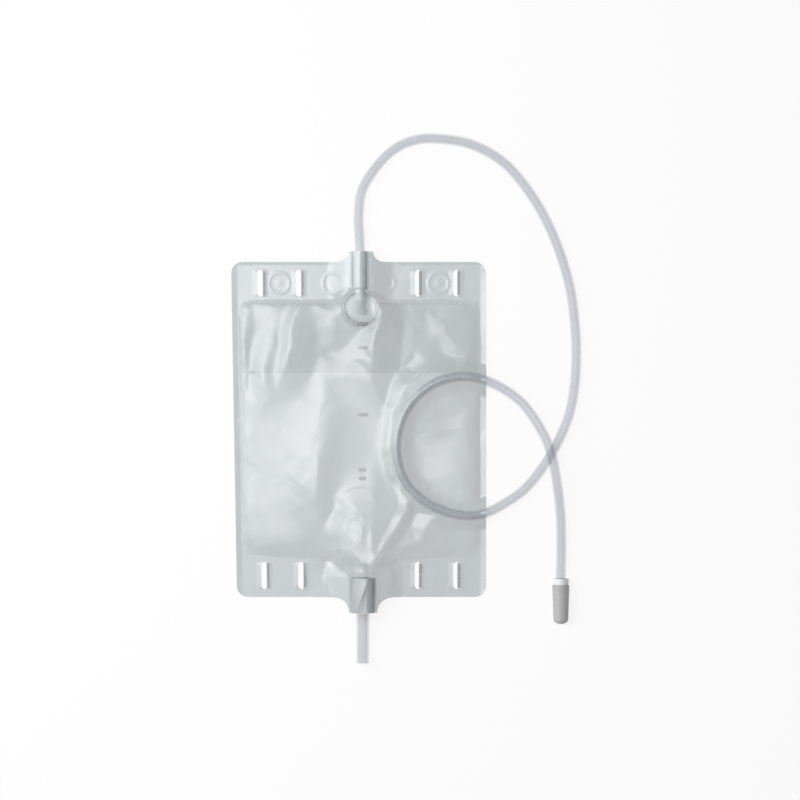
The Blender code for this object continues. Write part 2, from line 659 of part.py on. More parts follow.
def film_solid(name, points, faces, height, finish):
    """A film of even upright thickness over the given triangles."""
    bm = bmesh.new()
    layers = []
    used = sorted({i for face in faces for i in face})
    for lift in (-FILM / 2, FILM / 2):
        layer = {}
        for i in used:
            x, y = points[i]
            layer[i] = bm.verts.new((drawn_in(x, y), y, height(x, y) + lift))
        layers.append(layer)
    low, high = layers
    sides = {}
    for face in faces:
        bm.faces.new([high[i] for i in face])
        bm.faces.new([low[i] for i in reversed(face)])
        for pair in zip(face, (*face[1:], face[0])):
            sides[frozenset(pair)] = None if frozenset(pair) in sides else pair
    for pair in filter(None, sides.values()):
        a, b = pair
        bm.faces.new((high[b], high[a], low[a], low[b]))
    return add_mesh(name, bm, finish)


def make_films(path, clear_film):
    drape = Drape(path)
    points, faces = film_plan(path, drape)
    film_solid("front_film", points, faces, drape.front, clear_film)
    film_solid("back_film", points, faces, drape.back, clear_film)
    inner = inner_film_outline()

    def middle_inside(face):
        return is_inside(sum(points[i][0] for i in face) / 3, sum(points[i][1] for i in face) / 3, inner)

    film_solid("anti_reflux_film", points, [f for f in faces if middle_inside(f)], drape.inner, clear_film)


# Inlet

def make_inlet(soft_clear, rigid_clear, silicone):
    socket = TUBE_RADIUS + GAP
    bore = SPIGOT_RADIUS + GAP
    step = SLEEVE_LENGTH - SLEEVE_SOCKET_DEPTH
    sleeve = turned("inlet_sleeve", [
        (bore, 0), (SLEEVE_RADIUS, 0), (SLEEVE_RADIUS, SLEEVE_LENGTH), (socket, SLEEVE_LENGTH),
        (socket, step), (SPIGOT_BORE, step), (SPIGOT_BORE, step - SLEEVE_STOP), (bore, step - SLEEVE_STOP),
    ], soft_clear, closed=True)
    lay_along_y(sleeve, INLET_X, SLEEVE_END_Y, SLEEVE_AXIS)
    make_valve_shells(rigid_clear)
    make_duckbill(silicone)


def valve_shell(name, finish):
    """Half of the valve's round housing, opening downward."""
    outer = rounded(VALVE_RADIUS, VALVE_HALF_HEIGHT - GAP / 2)
    inner = rounded(VALVE_RADIUS - VALVE_WALL, VALVE_HALF_HEIGHT - GAP / 2 - VALVE_WALL)
    section = outer + inner[::-1]
    shell = turned(name, [(r, z + GAP / 2) for r, z in section], finish, sides=BOLD_ROUND_SIDES)
    shell.location = (INLET_X, VALVE_Y, SLEEVE_AXIS)
    return shell


def make_valve_shells(finish):
    upper = valve_shell("valve_upper_shell", finish)
    lower = valve_shell("valve_lower_shell", finish)
    lower.rotation_euler = (math.pi, 0, 0)
    length = SLEEVE_END_Y + SPIGOT_IN_SLEEVE - VALVE_Y - SPIGOT_INNER_END
    spigot = turned("spigot_guide", [
        (0, 0), (SPIGOT_RADIUS, 0), (SPIGOT_RADIUS, length), (0, length)])
    bore = turned("spigot_bore_cutter", [
        (0, -0.001), (SPIGOT_BORE, -0.001), (SPIGOT_BORE, length + 0.001), (0, length + 0.001)])
    notch = turned("spigot_notch_cutter", [
        (0, 0), (SPIGOT_RADIUS + GAP, 0), (SPIGOT_RADIUS + GAP, length), (0, length)])
    for tool in (spigot, bore, notch):
        lay_along_y(tool, INLET_X, VALVE_Y + SPIGOT_INNER_END, SLEEVE_AXIS)
    combine(upper, notch, "DIFFERENCE")
    combine(lower, spigot, "UNION")
    combine(lower, bore, "DIFFERENCE")
    for turn in (-40, 0, 40):
        window = block(f"window_cutter_{turn + 40}", (WINDOW_WIDTH, 3 * VALVE_WALL, WINDOW_HEIGHT))
        angle = math.radians(turn)
        reach = VALVE_RADIUS - VALVE_WALL
        window.location = (INLET_X + reach * math.sin(angle), VALVE_Y - reach * math.cos(angle), SLEEVE_AXIS)
        window.rotation_euler = (0, 0, angle)
        combine(lower, window, "DIFFERENCE")


def make_duckbill(finish):
    """Soft valve: a plug in the spigot's bore, a flange, and a throat that flattens to two lips."""
    plug = SPIGOT_BORE - GAP
    steps = 4
    throat = [-FLANGE - LIP_LENGTH * i / steps for i in range(steps + 1)]
    outer = [(plug, PLUG_LENGTH), (plug, 0), (SPIGOT_RADIUS, 0), (SPIGOT_RADIUS, -FLANGE)]
    outer += [(THROAT_RADIUS, z) for z in throat]
    inner = [(THROAT_RADIUS - LIP_WALL, z) for z in throat[::-1]] + [(plug - LIP_WALL, PLUG_LENGTH)]
    bill = turned("duckbill_valve", outer + inner, finish, closed=True)
    for vertex in bill.data.vertices:
        away = math.hypot(vertex.co.x, vertex.co.y)
        pinch = ease((-FLANGE - vertex.co.z) / LIP_LENGTH)
        inside = away < THROAT_RADIUS - LIP_WALL / 2
        lip = GAP / 2 if inside else GAP / 2 + LIP_WALL
        width = LIP_HALF_WIDTH - LIP_WALL if inside else LIP_HALF_WIDTH
        vertex.co.x *= 1 + pinch * (width / away - 1)
        vertex.co.y *= 1 + pinch * (lip / away - 1)
    lay_along_y(bill, INLET_X, VALVE_Y + SPIGOT_INNER_END - GAP, SLEEVE_AXIS)


# Outlet

def make_outlet(grey, rigid_clear, rubber, soft_clear):
    cut = BARREL_CHAMFER
    barrel = turned("outlet_barrel", [
        (BARREL_BORE, 0), (BARREL_RADIUS - cut, 0), (BARREL_RADIUS, cut), (BARREL_RADIUS, BARREL_LENGTH - cut),
        (BARREL_RADIUS - cut, BARREL_LENGTH), (BARREL_BORE + cut, BARREL_LENGTH),
        (BARREL_BORE, BARREL_LENGTH - cut),
    ], grey, closed=True, sides=BOLD_ROUND_SIDES)
    lay_along_y(barrel, OUTLET_X, BARREL_END_Y, BARREL_AXIS)

    carrier = bpy.data.objects.new("stem_axis", None)
    carrier.location = (OUTLET_X, STEM_END_Y, BARREL_AXIS)
    carrier.rotation_euler = (-math.pi / 2, 0, 0)
    bpy.context.scene.collection.objects.link(carrier)

    end_gap, foot_gap = SEAL_FROM_BARREL_ENDS
    barrel_top = BARREL_TOP_Y - STEM_END_Y
    top_seal = barrel_top - end_gap
    foot_seal = STEM_BELOW_BARREL + foot_gap
    stem = make_stem(rigid_clear, foot_seal, top_seal)
    seals = [make_seal("stem_seal_lower", rubber, foot_seal), make_seal("stem_seal_upper", rubber, top_seal)]
    cut = OUTLET_TUBE_CHAMFER
    tube = turned("outlet_tube", [
        (OUTLET_TUBE_BORE, 0), (OUTLET_TUBE_RADIUS, 0), (OUTLET_TUBE_RADIUS, cut - OUTLET_TUBE_LENGTH),
        (OUTLET_TUBE_RADIUS - cut / 3, cut / 3 - OUTLET_TUBE_LENGTH),
        (OUTLET_TUBE_RADIUS - cut, -OUTLET_TUBE_LENGTH), (OUTLET_TUBE_BORE, -OUTLET_TUBE_LENGTH),
    ], soft_clear, closed=True)
    tube.location.z = OUTLET_TUBE_SOCKET
    for piece in (stem, tube, *seals):
        piece.parent = carrier


def make_stem(finish, foot_seal, top_seal):
    """Clear tube with a domed top, a groove for each seal and windows just under the upper one."""
    length = STEM_TOP_Y - STEM_END_Y
    half = SEAL_THICKNESS / 2 + GAP
    floor = STEM_RADIUS - GROOVE_DEPTH
    socket = OUTLET_TUBE_RADIUS + GAP
    socket_top = OUTLET_TUBE_SOCKET + GAP
    wall = STEM_RADIUS - STEM_BORE
    dome = [(STEM_RADIUS * math.cos(a), length - STEM_DOME * STEM_RADIUS * (1 - math.sin(a)))
            for a in (math.pi / 8 * i for i in range(5))]
    section = [(socket, 0), (STEM_RADIUS, 0)]
    for place in (foot_seal, top_seal):
        section += [(STEM_RADIUS, place - half), (floor, place - half), (floor, place + half),
                    (STEM_RADIUS, place + half)]
    section += dome[:-1] + [(0, length), (0, length - wall), (STEM_BORE, length - wall - STEM_DOME * STEM_BORE)]
    section += [(STEM_BORE, socket_top), (socket, socket_top)]
    stem = turned("valve_stem", section, finish, closed=True)
    windows_at = top_seal - half - STEM_LAND - STEM_WINDOW_LENGTH / 2
    through = 3 * STEM_RADIUS
    for name, size in zip("xy", ((through, STEM_WINDOW_WIDTH), (STEM_WINDOW_WIDTH, through))):
        window = block(f"stem_window_cutter_{name}", (*size, STEM_WINDOW_LENGTH))
        lay_along_y(window, OUTLET_X, STEM_END_Y + windows_at, BARREL_AXIS)
        combine(stem, window, "DIFFERENCE")
    return stem


def make_seal(name, finish, along):
    half = SEAL_THICKNESS / 2
    middle = SEAL_OUTSIDE - half
    angles = [math.tau * i / SEAL_SIDES for i in range(SEAL_SIDES)]
    section = [(middle + half * math.cos(a), half * math.sin(a)) for a in angles]
    seal = turned(name, section, finish, closed=True)
    seal.location.z = along
    return seal


# Tube, connector and cap

def make_tube(path, finish):
    curve = bpy.data.curves.new("inlet_tube", "CURVE")
    curve.dimensions = "3D"
    curve.bevel_depth = TUBE_RADIUS
    curve.bevel_resolution = 2
    curve.use_fill_caps = True
    line = curve.splines.new("POLY")
    line.points.add(len(path) - 1)
    for point, place in zip(line.points, path):
        point.co = (*place, 1)
    curve.materials.append(finish)
    bpy.context.scene.collection.objects.link(bpy.data.objects.new("inlet_tube", curve))


def make_connector(white, grey):
    """Collar with a socket for the tube, and a barbed nozzle, both running down from the collar's top."""
    x, y = CONNECTOR_TOP
    socket = TUBE_RADIUS + GAP
    section = [(socket, 0), (COLLAR_RADIUS, 0), (COLLAR_RADIUS, -COLLAR_LENGTH)]
    step = NOZZLE_LENGTH / NOZZLE_BARBS
    for i in range(NOZZLE_BARBS):
        wide = NOZZLE_ROOT_RADIUS + (NOZZLE_TIP_RADIUS - NOZZLE_ROOT_RADIUS) * i / NOZZLE_BARBS
        narrow = NOZZLE_ROOT_RADIUS + (NOZZLE_TIP_RADIUS - NOZZLE_ROOT_RADIUS) * (i + 1) / NOZZLE_BARBS
        section += [(wide, -COLLAR_LENGTH - step * i), (narrow - BARB_STEP, -COLLAR_LENGTH - step * (i + 1))]
    section += [(NOZZLE_BORE, -COLLAR_LENGTH - NOZZLE_LENGTH), (NOZZLE_BORE, -CONNECTOR_SOCKET_DEPTH),
                (socket, -CONNECTOR_SOCKET_DEPTH)]
    connector = turned("tube_connector", section, white, closed=True)
    lay_along_y(connector, x, y, CAP_MOUTH_RADIUS)
    nub = block("nub_guide", NUB)
    nub.location = (x + COLLAR_RADIUS, y - NUB[1] / 2, CAP_MOUTH_RADIUS)
    combine(connector, nub, "UNION")
    make_cap(grey, x, y - COLLAR_LENGTH - GAP)


def make_cap(finish, x, mouth_y):
    """Tapered cup with a rounded end, opening towards the collar."""
    end = [(CAP_END_RADIUS * math.cos(a), -CAP_LENGTH + CAP_DOME * CAP_END_RADIUS * (1 - math.sin(a)))
           for a in (math.pi / 8 * i for i in range(5))]
    inside = CAP_END_RADIUS - CAP_WALL
    hollow = [(0, -CAP_LENGTH + CAP_WALL), (inside * 0.7, -CAP_LENGTH + CAP_WALL + 0.15 * inside),
              (inside, -CAP_LENGTH + CAP_WALL + CAP_DOME * inside), (CAP_MOUTH_RADIUS - CAP_WALL, 0)]
    section = [(CAP_MOUTH_RADIUS, 0)] + [(r, z) for r, z in end[:-1]] + [(0, -CAP_LENGTH)] + hollow
    cap = turned("connector_cap", section, finish, closed=True, sides=BOLD_ROUND_SIDES)
    lay_along_y(cap, x, mouth_y, CAP_MOUTH_RADIUS)


def main():
    for old in list(bpy.data.objects):
        bpy.data.objects.remove(old)
    clear_film = material("clear_film", (0.80, 0.84, 0.85), 0.18, 0.35)
    soft_clear = material("soft_clear", (0.80, 0.82, 0.86), 0.25, 0.6)
    rigid_clear = material("rigid_clear", (0.86, 0.88, 0.90), 0.15, 0.5)
    silicone = material("silicone", (0.88, 0.88, 0.86), 0.45)
    rubber = material("rubber", (0.10, 0.10, 0.11), 0.6)
    white = material("white_plastic", (0.90, 0.91, 0.92), 0.35)
    grey = material("grey_plastic", (0.47, 0.48, 0.50), 0.35)
    path = tube_path()
    make_films(path, clear_film)
    make_inlet(soft_clear, rigid_clear, silicone)
    make_outlet(grey, rigid_clear, rubber, soft_clear)
    make_tube(path, soft_clear)
    make_connector(white, grey)


main()
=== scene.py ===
"""Looks of a clear urine drainage bag that lies on its back, seen from straight above.

Metres, in the frame of the model: X across the bag, +Y towards the inlet, +Z up from the table.
"""

import math

import bmesh
import bpy
import numpy as np
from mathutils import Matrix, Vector, noise
from mathutils.bvhtree import BVHTree
from mathutils.geometry import delaunay_2d_cdt


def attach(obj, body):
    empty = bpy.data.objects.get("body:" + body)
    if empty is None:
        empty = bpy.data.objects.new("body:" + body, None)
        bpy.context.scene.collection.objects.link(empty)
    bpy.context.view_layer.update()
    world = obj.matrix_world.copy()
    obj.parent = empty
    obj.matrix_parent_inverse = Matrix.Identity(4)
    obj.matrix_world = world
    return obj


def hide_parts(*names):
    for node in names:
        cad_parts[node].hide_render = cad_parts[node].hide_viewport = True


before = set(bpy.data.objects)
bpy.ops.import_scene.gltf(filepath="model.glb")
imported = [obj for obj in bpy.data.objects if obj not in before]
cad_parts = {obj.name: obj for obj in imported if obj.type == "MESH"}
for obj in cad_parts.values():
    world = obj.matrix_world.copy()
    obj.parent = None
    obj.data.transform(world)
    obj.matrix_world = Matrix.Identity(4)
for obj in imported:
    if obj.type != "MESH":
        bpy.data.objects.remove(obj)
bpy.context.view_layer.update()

# Camera: the photograph spans 0.708 m
VIEW_WIDTH = 0.708
VIEW_CENTRE = (0.0367, 0.0504)
CAMERA_HEIGHT = 2.2
SENSOR_WIDTH = 36

# Floor and light: the share of the floor's look that is its own glow, the world's strength on what it lights, and
# the lamps' distance from the point that they shine on
FLOOR_GLOW = 0.85
FLOOR_HALF = 3.0
FLOOR_Z = -0.0005
AMBIENT = 0.25
LAMP_DISTANCE = 1.6
LAMP_AIM = (0.02, 0.02, 0)

# Sizes of the bag, as in the model
BAG_HALF = 0.1128
BAG_LENGTH = 0.2965
HEAD_Y = 0.1726
NECK_TOP_Y = 0.1814
BARREL_TOP_Y = -0.1062
CHAMBER_TOP_Y = 0.1381
CHAMBER_FOOT_Y = -0.0859
CHAMBER_HALF = 0.1068
CHAMBER_CORNER = 0.0106
INNER_FILM_Y = 0.0743
SLEEVE_END_Y = 0.1484
VALVE = (0.0015, 0.1319)
VALVE_RADIUS = 0.0152
VALVE_HALF_HEIGHT = 0.0059
INLET_X = 0.0015
OUTLET_X = 0.0040
SLEEVE_AXIS = 0.0071
BARREL_AXIS = 0.0119
SLEEVE_WRAP = 0.00695
BARREL_WRAP = 0.01175
STEM_WRAP = 0.0089
SEAM_STANDOFF = 0.0009
TENT_CLEARANCE = 0.0009
STEM_TOP_Y = -0.0708
STEM_TRAVEL = 0.0085
LEFT_DRAWN_IN = 0.0053
SEAM = 0.0006
FILM = 0.0003
STEEPEST = 2.6
GRIP_ANGLE = math.radians(75)
PORT_FADE = 0.020
OUTLET_WEB_WIDTH = 0.022
INLET_WEB_REACH = 0.030
TUBE_RADIUS = 0.0045
TUBE_BORE = 0.0031
TUBE_WRAP = 0.0054
TENT_REACH = 0.0135
STEM_TENT = 0.024
STEM_END_SLOPE = 0.85

# Slots, the lips that punching left beside them, as (height, width), how far the right lips lean over the slots
# on each half of the bag, and the rings pressed into the head, as (height, half width)
HEAD_ROW_Y = 0.1538
SLOTS = [(x, y) for y in (HEAD_ROW_Y, -0.1049) for x in (-0.0868, -0.0528, 0.0528, 0.0868)]
SLOT_HALF_WIDTH = 0.0031
SLOT_HALF_LENGTH = 0.0096
SLOT_END = 0.0026
RIGHT_LIP = (0.0022, 0.0032)
LEFT_LIP = (0.0006, 0.0040)
LEAN_RIGHT_HALF = 0.0025
LEAN_LEFT_HALF = 0.0011
# Faces of the leaning right lips whose share passes LIP_CORE get the darker, more opaque film: painted shade on
# the right of each slot
LIP_CORE = 0.62
LEANING_FACE = 0.45
RING_X = (0.0226, 0.0705)
RING_RADIUS = 0.0090
RING = (0.0005, 0.0021)
RING_MIDDLE = (0.0003, 0.0036)

# The tube's way, as (x, y, height over lying on the table)
TUBE_ROUTE = (
    (0.0008, 0.1965, 0.0020), (0.0002, 0.2130, 0.0006), (0.0030, 0.2350, 0.0), (0.0141, 0.2540, 0.0),
    (0.0279, 0.2690, 0.0), (0.0446, 0.2784, 0.0), (0.0659, 0.2814, 0.0), (0.0995, 0.2761, 0.0),
    (0.1299, 0.2586, 0.0), (0.1558, 0.2266, 0.0), (0.1742, 0.1903, 0.0), (0.1862, 0.1522, 0.0),
    (0.1909, 0.1199, 0.0), (0.1924, 0.0900, 0.0), (0.1905, 0.0600, 0.0), (0.1845, 0.0330, 0.0),
    (0.1705, 0.0030, 0.0), (0.1500, -0.0250, 0.0), (0.1290, -0.0410, 0.0), (0.1060, -0.0510, 0.0),
    (0.0800, -0.0490, 0.0), (0.0560, -0.0375, 0.0), (0.0400, -0.0195, 0.0), (0.0335, 0.0060, 0.0),
    (0.0375, 0.0315, 0.0), (0.0500, 0.0520, 0.0), (0.0700, 0.0665, 0.0), (0.0950, 0.0712, 0.0),
    (0.1200, 0.0645, 0.0010), (0.1440, 0.0480, 0.0045), (0.1615, 0.0230, 0.0088),
    (0.1702, 0.0010, 0.0102), (0.1752, -0.0250, 0.0085), (0.1782, -0.0510, 0.0052),
    (0.1790, -0.0780, 0.0036), (0.1786, -0.0980, 0.0031),
)
SOCKET_FLOOR_Y = 0.1677
CONNECTOR_TOP = (0.1785, -0.1071)
CONNECTOR_FLOOR_Y = -0.1108
CAP_MOUTH_RADIUS = 0.0076
TUBE_SIDES = 32
TUBE_STEP = 0.0030
DRAPE_STEP = 0.0128

# Ridges and valleys of the front film in millimetres, each a line of (x, y, height), with flat film between them
LINES = (
    # Left edge
    ((-102, 133, 3.6), (-101, 114, 5.4), (-102, 98, 5.6), (-103.5, 78, 5.0), (-103, 50, 4.0),
     (-102, 24, 4.4), (-103, -4, 3.6), (-102, -40, 4.2), (-101, -70, 3.0)),
    ((-90, 133, 2.8), (-89, 120, 2.6), (-92, 104, 2.4), (-97, 90, 2.4), (-97.5, 74, 2.4), (-98, 56, 2.6)),
    ((-96, 30, 2.6), (-97, 0, 2.4), (-96, -40, 2.4), (-94, -66, 2.4)),
    # Upper left
    ((-75, 133, 5.4), (-76, 120, 5.6), (-79, 106, 6.4), (-83, 92, 7.6), (-84, 80, 8.4), (-84, 66, 8.4),
     (-87, 52, 6.0)),
    ((-60, 136, 4.4), (-66, 122, 4.4), (-70, 108, 4.6), (-70.5, 98, 5.0), (-74, 88, 5.4), (-78, 76, 6.2)),
    ((-52.5, 136, 7.4), (-59, 121, 9.4), (-62.5, 108, 10.4), (-63, 98, 10.6), (-64.5, 86, 10.0),
     (-67, 74, 9.0), (-72, 60, 6.4)),
    ((-42, 136, 6.8), (-39, 120, 6.2), (-36, 106, 5.2), (-36, 92, 4.4), (-38, 80, 4.2), (-44, 66, 4.4)),
    ((-32, 96, 5.0), (-31, 84, 5.8), (-31, 74, 6.0), (-37, 62, 5.6)),
    # From the valve down to the left
    ((-21, 140, 7.6), (-21, 128, 8.8), (-19, 114, 8.0), (-14, 106, 6.6)),
    ((9, 116, 7.8), (3, 110, 7.0), (-6, 101, 6.0), (-18, 94, 4.6), (-30, 90, 3.0)),
    ((11, 142, 12.6), (12.5, 132, 13.6), (11.5, 123, 13.0)),
    ((16, 143, 12.4), (19, 137, 15.6), (20, 130, 16.6), (18.5, 120, 16.2), (15, 108, 14.6),
     (13.5, 96, 13.2), (12.5, 84, 12.0), (11, 70, 9.8), (5, 56, 7.4), (-8, 48, 6.0)),
    # Upper right
    ((38, 134, 3.4), (40, 118, 2.4), (40, 100, 2.0), (39, 84, 2.2), (33, 72, 4.0)),
    ((60, 130, 3.0), (72, 112, 4.8), (86, 98, 5.4), (97, 90, 5.0)),
    ((60, 102, 2.6), (74, 93, 3.4)),
    # The long light band and the valley beside it
    ((-66, 44, 5.0), (-67, 22, 5.2), (-67, -5, 5.6), (-65, -35, 6.4), (-60, -60, 5.2)),
    ((-29, 48, 8.0), (-31, 36, 10.2), (-34, 18, 12.0), (-37, -5, 13.2), (-36, -34, 13.8),
     (-34, -54, 11.8), (-37, -72, 7.0)),
    ((-12, 42, 7.2), (-15, 20, 7.8), (-19, -5, 8.0), (-21, -30, 7.2), (-27, -52, 6.4), (-30, -70, 6.6),
     (-28, -82, 6.4)),
    # Both sides of the stem
    ((8, 34, 7.4), (8, 4, 7.7), (-1, -20, 8.3), (-3.5, -40, 13.0), (-4.5, -58, 18.6), (-4.5, -72, 19.6),
     (-4.5, -88, 19.8)),
    ((14, -22, 9.8), (13, -38, 13.4), (12.5, -56, 18.8), (12.6, -70, 20.6), (12.2, -84, 21.6)),
    # Round the left of the tube's loop
    ((90, 88, 4.6), (60, 83, 5.6), (37, 69, 6.8), (23, 44, 7.8), (19.5, 8, 8.1), (23, -17, 8.8)),
    ((92, 81, 7.6), (64, 76, 9.2), (43, 64, 10.6), (28.5, 41, 11.6), (25, 8, 11.8), (28.5, -15, 11.2)),
    ((94, 74, 8.4), (68, 68.5, 10.2), (49.5, 55, 11.0), (37, 33, 11.1), (33.5, 7, 11.1), (37, -14, 10.9)),
    # The patch left of the stem
    ((-17.5, -26, 6.8), (-17.5, -42, 7.8), (-19, -54, 12.4), (-20, -66, 14.4), (-19, -80, 14.6),
     (-15, -89, 14.6)),
    ((-13, -24, 7.8), (-12.5, -42, 12.2), (-12, -52, 14.4)),
    # The sharp ridge from the loop to the barrel: its crest, its left foot and its right foot
    ((31, -25, 9.2), (38, -32, 11.4), (44, -39, 13.2), (42, -48, 15.4), (38, -56, 17.0), (31, -66, 18.8),
     (25, -74, 20.4), (17.5, -86, 22.6), (9, -96, 23.4)),
    ((36.5, -40, 11.8), (32, -49, 14.2), (27.5, -58, 15.9), (22.5, -67, 17.9), (18.5, -76, 19.8),
     (15.2, -84, 21.4)),
    ((52, -46, 4.6), (46.5, -58, 5.4), (38, -71, 7.2), (30, -83, 9.8), (23, -91, 14.0)),
    # Lower right
    ((68, -54, 9.4), (60, -65, 8.8), (53, -76, 7.0)),
    ((60, -82, 3.2), (73, -80, 4.8), (72, -68, 4.4), (84, -58, 5.2), (95, -62, 3.6)),
    ((82, -76, 2.6), (84, -68, 3.0), (94, -74, 2.6)),
    # Right edge and inside the loop
    ((101, 58, 4.8), (102, 30, 7.4), (101.5, -4, 7.8), (101, -38, 6.4), (101.5, -66, 3.4)),
    ((47, 30, 5.0), (70, 31, 7.0), (96, 42, 8.0)),
    ((46, 16, 2.6), (72, 18, 5.8), (94, 24, 8.6)),
    ((46, -12, 2.4), (66, -20, 5.2), (88, -16, 8.2)),
)
SHOULDER = 2.2
CREASE_RINGS = ((0.55, 5), (1.0, 7))

# Pleats of the film round the outlet's barrel in millimetres, each its crest and the widths of its left and
# right slopes
PLEATS = (
    (((13, -96, 0.2), (9, -108, 1.9), (3.5, -121, 2.1), (-1.8, -137, 1.9)), 5.0, 1.5),
    (((12.5, -112, 0.4), (11.5, -120, 1.6), (9, -137, 1.7)), 5.0, 2.2),
    (((26, -97, 1.5), (30, -108, 3.2), (25, -124, 1.8)), 12.0, 4.0),
    (((-26, -97, 0.3), (-30, -110, 1.2), (-27, -123, 0.8)), 4.0, 6.0),
)

# How far the folds wander, in millimetres, as (share, size in metres, seed)
WANDER = 2.6
WANDER_HELD = 2.0
WANDER_X = ((1.0, 0.022, 3.1), (0.5, 0.007, 5.2))
WANDER_Y = ((1.0, 0.022, 8.7), (0.5, 0.009, 1.9))

# Waves of the front film and of the welded border, as (height, size, stretch, seed)
RIPPLES = ((0.0009, 0.036, (1, 1.4), 1.7), (0.00030, 0.013, (1, 1.8), 4.4), (0.00006, 0.0048, (1, 1.5), 9.4))
BORDER_WAVES = ((0.00035, 0.016, (1.6, 1), 2.2), (0.0008, 0.045, (1.4, 1), 6.1))
UPPER_LEFT_STREAKS = 0.0005
LOWER_RIGHT_STREAKS = 0.0010
CREASE_HEIGHT = 0.0004
CREASE_SHARE = 0.14
CREASES = ((0.030, 12.0), (0.021, 27.5))
CURL = 0.0007

# The front film over the tube, its fill of air, and its step beside the weld, as (height, width)
LOOP_TENT = 0.0066
LOOP_REACH_OUTSIDE = 0.018
LOOP_REACH_INSIDE = 0.014
PLUMP = 0.0030
PLUMP_REACH = 0.030
WELD_STEP = (0.0012, 0.0020)

# The middle of the folds round the stem and their ridge, which keep their creases
TAP = (0.017, -0.062)
TAP_REACH = 0.036
SMOOTHING_ROUNDS = 80

# Longest edges of the films' meshes
FINE_EDGE = 0.0011
FRONT_EDGE = 0.0019
BACK_EDGE = 0.0030

# The scale: its numbers, how far up the bag each one is and their size
SCALE_X = 0.0036
SCALE = (("2000", 0.1170), ("1500", 0.0962), ("1000", 0.0374), ("500", -0.0114), ("400", -0.0190))
SCALE_SIZE = 0.0046
SCALE_EDGE = 0.0008
INK_HEIGHT = 0.0001


# Lines and areas in plan, for whole arrays of points at once

def arc(x, y, radius, start, end, steps=6):
    turn = [math.radians(start + (end - start) * i / steps) for i in range(steps + 1)]
    return [(x + radius * math.cos(a), y + radius * math.sin(a)) for a in turn]


def chamber_outline():
    half = CHAMBER_HALF
    r = CHAMBER_CORNER
    seam = BARREL_WRAP + SEAM_STANDOFF
    loop = [(OUTLET_X - seam, BARREL_TOP_Y), (OUTLET_X + seam, BARREL_TOP_Y),
            (OUTLET_X + 0.030, BARREL_TOP_Y + 0.014)]
    loop += arc(half - r, CHAMBER_FOOT_Y + r, r, -90, 0) + arc(half - r, CHAMBER_TOP_Y - r, r, 0, 90)
    loop += [(INLET_X + 0.026, CHAMBER_TOP_Y), (INLET_X + 0.0105, CHAMBER_TOP_Y + 0.0125)]
    loop += [(INLET_X - 0.0105, CHAMBER_TOP_Y + 0.0125), (INLET_X - 0.026, CHAMBER_TOP_Y)]
    loop += arc(r - half, CHAMBER_TOP_Y - r, r, 90, 180) + arc(r - half, CHAMBER_FOOT_Y + r, r, 180, 270)
    return loop + [(OUTLET_X - 0.030, BARREL_TOP_Y + 0.014)]


def nearest(x, y, line):
    """Distance from each point to a line of (x, y, ...), its side of it, and the line's third value there."""
    best = np.full(x.shape, np.inf)
    side = np.zeros(x.shape)
    value = np.zeros(x.shape)
    for start, end in zip(line, line[1:]):
        dx = end[0] - start[0]
        dy = end[1] - start[1]
        square = dx * dx + dy * dy
        if not square:
            continue
        part = np.clip(((x - start[0]) * dx + (y - start[1]) * dy) / square, 0, 1)
        ox = x - start[0] - part * dx
        oy = y - start[1] - part * dy
        away = np.hypot(ox, oy)
        closer = away < best
        best = np.where(closer, away, best)
        side = np.where(closer, np.sign(dx * oy - dy * ox), side)
        if len(start) > 2:
            value = np.where(closer, start[2] + (end[2] - start[2]) * part, value)
    return best, side, value


def inside(x, y, loop):
    crossings = np.zeros(x.shape, int)
    for (x1, y1), (x2, y2) in zip(loop, loop[1:] + loop[:1]):
        if y1 == y2:
            continue
        spans = (y1 > y) != (y2 > y)
        crossings += spans & (x < x1 + (y - y1) / (y2 - y1) * (x2 - x1))
    return crossings % 2 == 1


# Heights of film

def ease(value):
    value = np.clip(value, 0, 1)
    return value * value * (3 - 2 * value)


def tent(distance, radius, axis, reach):
    """Height of a taut sheet over a round bar."""
    lean = np.arccos(radius / np.hypot(reach, axis)) - np.arctan2(axis, reach)
    touch = radius * np.cos(lean)
    over = axis + np.sqrt(np.maximum(radius ** 2 - distance ** 2, 0))
    slope = np.maximum(reach - distance, 0) / (reach - touch) * (axis + radius * np.sin(lean))
    return np.where(distance <= touch, over, slope)


def wrap(distance, radius):
    """Half the distance between two films that are welded round a port."""
    grip = radius * math.sin(GRIP_ANGLE)
    seam = radius + SEAM_STANDOFF
    round_it = np.sqrt(np.maximum(radius ** 2 - distance ** 2, 0))
    to_seam = np.maximum(seam - distance, 0) / (seam - grip) * radius * math.cos(GRIP_ANGLE)
    return np.where(distance <= grip, round_it, to_seam)


def waves(x, y, size, stretch=(1, 1), seed=0.0):
    """Smooth noise between about -1 and 1 over features of that size, in metres."""
    return np.array([noise.noise(Vector((a / size / stretch[0], b / size / stretch[1], seed)))
                     for a, b in zip(x, y)])


def summed_waves(x, y, table):
    return sum(height * waves(x, y, size, stretch, seed) for height, size, stretch, seed in table)


def folded_plan(chamber):
    """Flat faces between the folds' lines and the chamber's weld: points, faces and heights, in millimetres."""
    spots = [(1000 * a, 1000 * b, SHOULDER) for a, b in chamber]
    edges = [(i, (i + 1) % len(spots)) for i in range(len(spots))]
    for line in LINES:
        edges += [(len(spots) + i, len(spots) + i + 1) for i in range(len(line) - 1)]
        spots += line
    flat, _, faces, origins, *_ = delaunay_2d_cdt([Vector(p[:2]) for p in spots], edges, [], 0, 1e-4)
    heights = []
    for place, origin in zip(flat, origins):
        near = origin or [min(range(len(spots)), key=lambda i: (Vector(spots[i][:2]) - place).length)]
        heights.append(sum(spots[i][2] for i in near) / len(near))
    return flat, faces, heights


